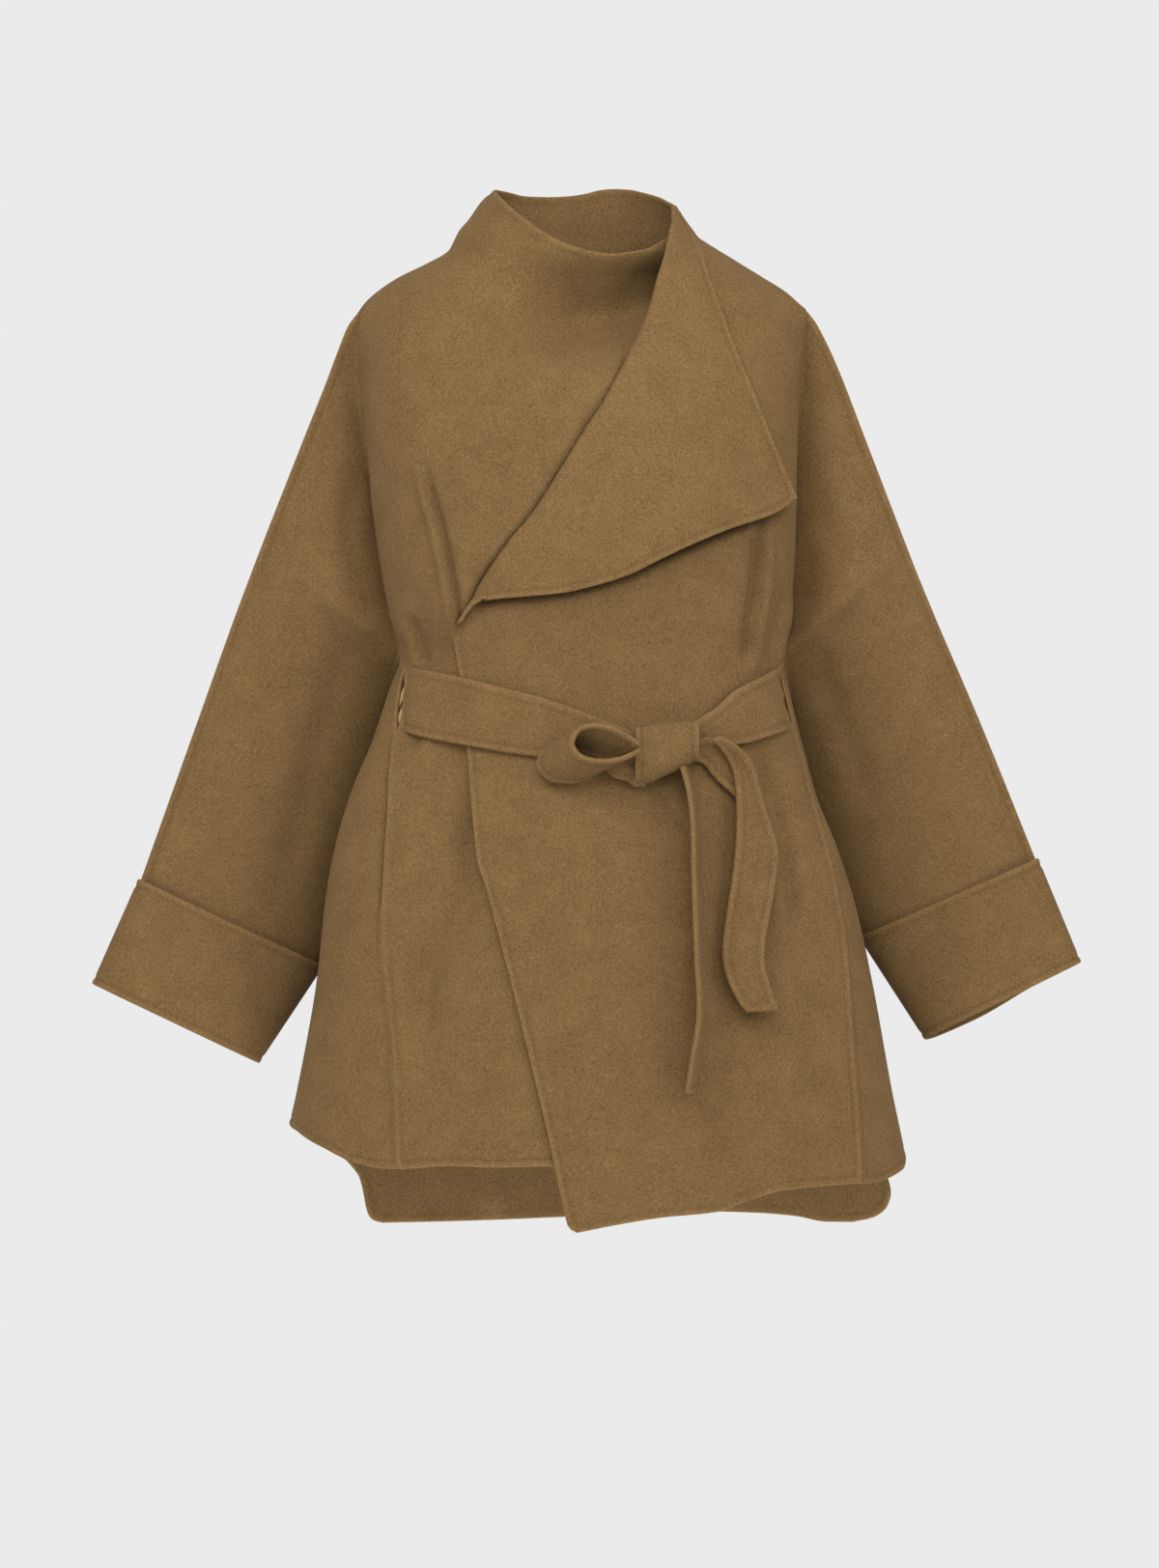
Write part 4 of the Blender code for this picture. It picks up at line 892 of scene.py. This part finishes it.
# Knot: the strap wound once round the belt, a flat tube with its axis along the belt.
KNOT_ROWS = ((42.5, -401, -447), (52, -399, -448.5), (64, -397, -443), (78, -396, -437), (90, -395, -431.5), (97, -394.5, -428))
s = spread(26, 55)
k = np.array(KNOT_ROWS, float)
x = np.interp(s, steps(len(k) - 1), k[:, 0])
top_z, low_z = smooth(steps(len(k) - 1), k[:, 1], s), smooth(steps(len(k) - 1), k[:, 2], s)
back_y = coat_front(x, (top_z + low_z) / 2, np.full(len(x), on_left + 2.0))
a = np.linspace(0, 2 * np.pi, 73)
ca, sa = np.cos(a), np.sin(a)
deep = 9.5 + 1.5 * np.sin(np.pi * s)
zz = (top_z + low_z)[:, None] / 2 + (top_z - low_z)[:, None] / 2 * (np.sign(sa) * np.abs(sa) ** 0.72)[None, :]
yy = (back_y - deep)[:, None] - (deep[:, None] * (np.sign(ca) * np.abs(ca) ** 0.72)[None, :])
pull = 0.9 * np.sin((zz + 420) / 5.2 + x[:, None] / 9.0) * np.clip(ca, 0, 1)[None, :] * ease((0.5 - s) / 0.5)[:, None]
knot_net = np.stack([np.broadcast_to(x[:, None], zz.shape), yy - 0.5 * pull, zz], -1)
knot_net[:, -1] = knot_net[:, 0]
TUCK = ((16, -437, 8), (23, -443.5, 12), (34, -446, 14), (41, -451, 15), (49, -451, 13))  # x, lowest z, height
q = np.array(TUCK, float)
s2 = steps(24)
tx, tz, th = (smooth(steps(len(q) - 1), q[:, j], s2) for j in range(3))
v2 = steps(14)
ty = coat_front(tx, tz, np.full(len(tx), on_left + 6.0))
tuck = np.stack([np.broadcast_to(tx[None, :], (15, 25)), ty[None, :] - 5.0 * np.sin(np.pi * v2)[:, None] ** 0.7, tz[None, :] + v2[:, None] * (th + 6)[None, :]], -1)
strap("belt_knot", [knot_net.transpose(1, 0, 2), tuck], wall=3.6)

# Loop of the half-bow: a strap bent round, seen into its mouth.
LOOP_RIM = ((44, -414), (30, -405), (18, -400), (5, -397.5), (-6, -399), (-14.5, -407), (-16.5, -414), (-12, -423), (-2, -428.5), (12, -430), (28, -428), (44, -421))
LOOP_WAY = (-30, 29, -18)
s = steps(80)
near = line(LOOP_RIM, s)
tall = spread(12, 53)
far_y = coat_front(near[:, 0] + LOOP_WAY[0], near[:, 1] + LOOP_WAY[2], np.full(len(s), on_left + 6.0)).min()
rim3 = np.stack([near[:, 0], np.full(len(s), far_y - LOOP_WAY[1]), near[:, 1]], -1)
loop = rim3[None] + np.array(LOOP_WAY, float)[None, None] * tall[:, None, None]
squeeze = ease((near[:, 0] - 14) / 32)[None, :]
mid = np.array([44, far_y - 12.0, -418.0])
loop = loop + (mid - loop) * (squeeze * (0.15 + 0.35 * tall[:, None]))[..., None] * np.array([0.0, 0.85, 0.5])
strap("belt_loop", [loop])

# Hanging ends: each row gives the left and right edge and how far each stands off the coat.
END_WIDE = (
    (113, -411, 117, -409, 20, 22), (117, -414, 127, -413, 19, 23), (124, -422, 138, -421, 16, 21), (132, -438, 147, -434, 12, 18), (134.5, -459, 152, -455, 9, 15),
    (135, -491, 162, -489, 7, 10), (132, -527, 169, -512, 6, 8), (125.5, -569, 164, -553, 5, 8), (121.5, -602, 157, -590, 6, 9), (122, -615, 155, -606, 8, 11),
    (129, -634, 158, -624, 10, 12), (136, -648, 163, -640, 9, 11), (143, -655.5, 169, -654, 8, 10),
)
UNDERSIDE = ((96, -412, 95, -427, 5, 4), (106, -410, 104, -431, 8, 3), (118, -413, 112, -441, 9, 2), (128, -421, 121, -450, 7, 1), (136, -437, 128, -456, 4, 0.5), (139, -462, 133, -461, 3, 0.5))


def rounded(xs, ys, x, reach=0.055):
    """The curve through the points, its turns rounded off over a reach."""
    fine = np.linspace(0, 1, 401)
    y = smooth(xs, ys, fine)
    near = np.minimum(reach, np.minimum(fine, 1 - fine))
    return np.interp(x, fine, np.mean([np.interp(fine + near * k, fine, y) for k in np.linspace(-1, 1, 15)], axis=0))


def hanging(table, n_along, n_across):
    q = np.array(table, float)
    run = np.concatenate([[0], np.cumsum(np.linalg.norm(np.diff((q[:, :2] + q[:, 2:4]) / 2, axis=0), axis=1))])
    s = np.concatenate([np.linspace(0, 1 - 0.04, n_along), 1 - np.array([0.03, 0.02, 0.012, 0.006, 0.0])])
    xl, zl, xr, zr, ol, orr = (rounded(run / run[-1], q[:, j], s) for j in range(6))
    w = spread(n_across, 40)
    x = xl[:, None] + (xr - xl)[:, None] * w
    z = zl[:, None] + (zr - zl)[:, None] * w
    out = OVERLAP_OUT + WALL + STRAP / 2 + (ol[:, None] + (orr - ol)[:, None] * w) * 0.9
    return np.stack([x, coat_front(x, z, out), z], -1)


strap("belt_end_wide", [hanging(END_WIDE, 70, 12)[::-1], hanging(UNDERSIDE, 30, 10)[::-1]])
END_NARROW = ((86, -436, 20, 6), (89.5, -447, 26, 6), (93, -462, 30, 6.5), (96, -490, 33, 7), (97.5, -530, 35, 8), (99, -570, 36, 8.5), (100.5, -612, 36, 8.5), (101.5, -630, 36, 8), (102, -642, 36, 7.5),
              (101.5, -660, 36, 7), (98, -690, 36, 8), (94.5, -714, 36, 9), (92.5, -729, 36, 9))
q = np.array(END_NARROW, float)
run = np.concatenate([[0], np.cumsum(np.linalg.norm(np.diff(q[:, :2], axis=0), axis=1))])
s = np.concatenate([np.linspace(0, 0.965, 70), [0.975, 0.985, 0.993, 1.0]])
x, z, wide, lean = (rounded(run / run[-1], q[:, j], s, 0.03) for j in range(4))
w = spread(12, 38)
far_y = coat_front(x, z, np.full(len(x), OVERLAP_OUT + WALL + STRAP / 2 + 2.5))
net = np.stack([x[:, None] + 1.5 - lean[:, None] * 0.62 * w[None, :], far_y[:, None] - wide[:, None] * w[None, :], np.broadcast_to(z[:, None], (len(x), len(w)))], -1)
strap("belt_end_narrow", [net])

# ---- sheets: the columns of a table of the flat cut of what shows of each piece, metres and square metres; no rows are given
SHEET_COLUMNS = ("width", "length", "area", "held", "rests_on")

# ---- stage, light and camera
floor = bpy.data.meshes.new("floor")
floor.from_pydata([(-2.5, -2.5, -1.45), (2.5, -2.5, -1.45), (2.5, 2.5, -1.45), (-2.5, 2.5, -1.45)], [], [(0, 1, 2, 3)])
floor_o = bpy.data.objects.new("floor", floor)
bpy.context.scene.collection.objects.link(floor_o)
pale = bpy.data.materials.new("pale")
pale.use_nodes = True
pale.node_tree.nodes["Principled BSDF"].inputs["Base Color"].default_value = (0.80, 0.80, 0.80, 1)
pale.node_tree.nodes["Principled BSDF"].inputs["Roughness"].default_value = 0.9
floor.materials.append(pale)

world = bpy.data.worlds.new("studio")
bpy.context.scene.world = world
world.use_nodes = True
world.node_tree.nodes["Background"].inputs["Color"].default_value = (0.83, 0.83, 0.83, 1)
world.node_tree.nodes["Background"].inputs["Strength"].default_value = 1.0


def lamp(name, at, aim, size, watts):
    data = bpy.data.lights.new(name, "AREA")
    data.shape, data.size, data.energy = "DISK", size, watts
    o = bpy.data.objects.new(name, data)
    bpy.context.scene.collection.objects.link(o)
    o.location = at
    from mathutils import Vector
    o.rotation_euler = (Vector(aim) - Vector(at)).to_track_quat("-Z", "Y").to_euler()
    return o


lamp("key", (-1.1, -2.0, 1.9), (0, 0, -0.3), 1.2, 49)
lamp("front", (0.3, -2.5, 1.0), (0, 0, -0.3), 1.6, 40)
lamp("fill", (2.1, -1.9, 0.5), (0, 0, -0.4), 1.6, 32)
lamp("left", (-2.2, -1.1, -0.3), (-0.1, 0, -0.4), 1.2, 11)
lamp("under", (0.0, -0.14, -1.38), (0, 0.13, -0.8), 0.4, 5.0)

cam = bpy.data.objects.new("camera", bpy.data.cameras.new("camera"))
bpy.context.scene.collection.objects.link(cam)
CAMERA_FAR = 30.0
cam.location = (-0.0097, -CAMERA_FAR, -0.4506)
cam.rotation_euler = (np.pi / 2, 0, 0)
cam.data.sensor_width = 36.0
cam.data.lens = 36.0 * CAMERA_FAR / 1.429
cam.data.clip_end = 1000
bpy.context.scene.camera = cam
bpy.context.scene.view_settings.view_transform = "Standard"
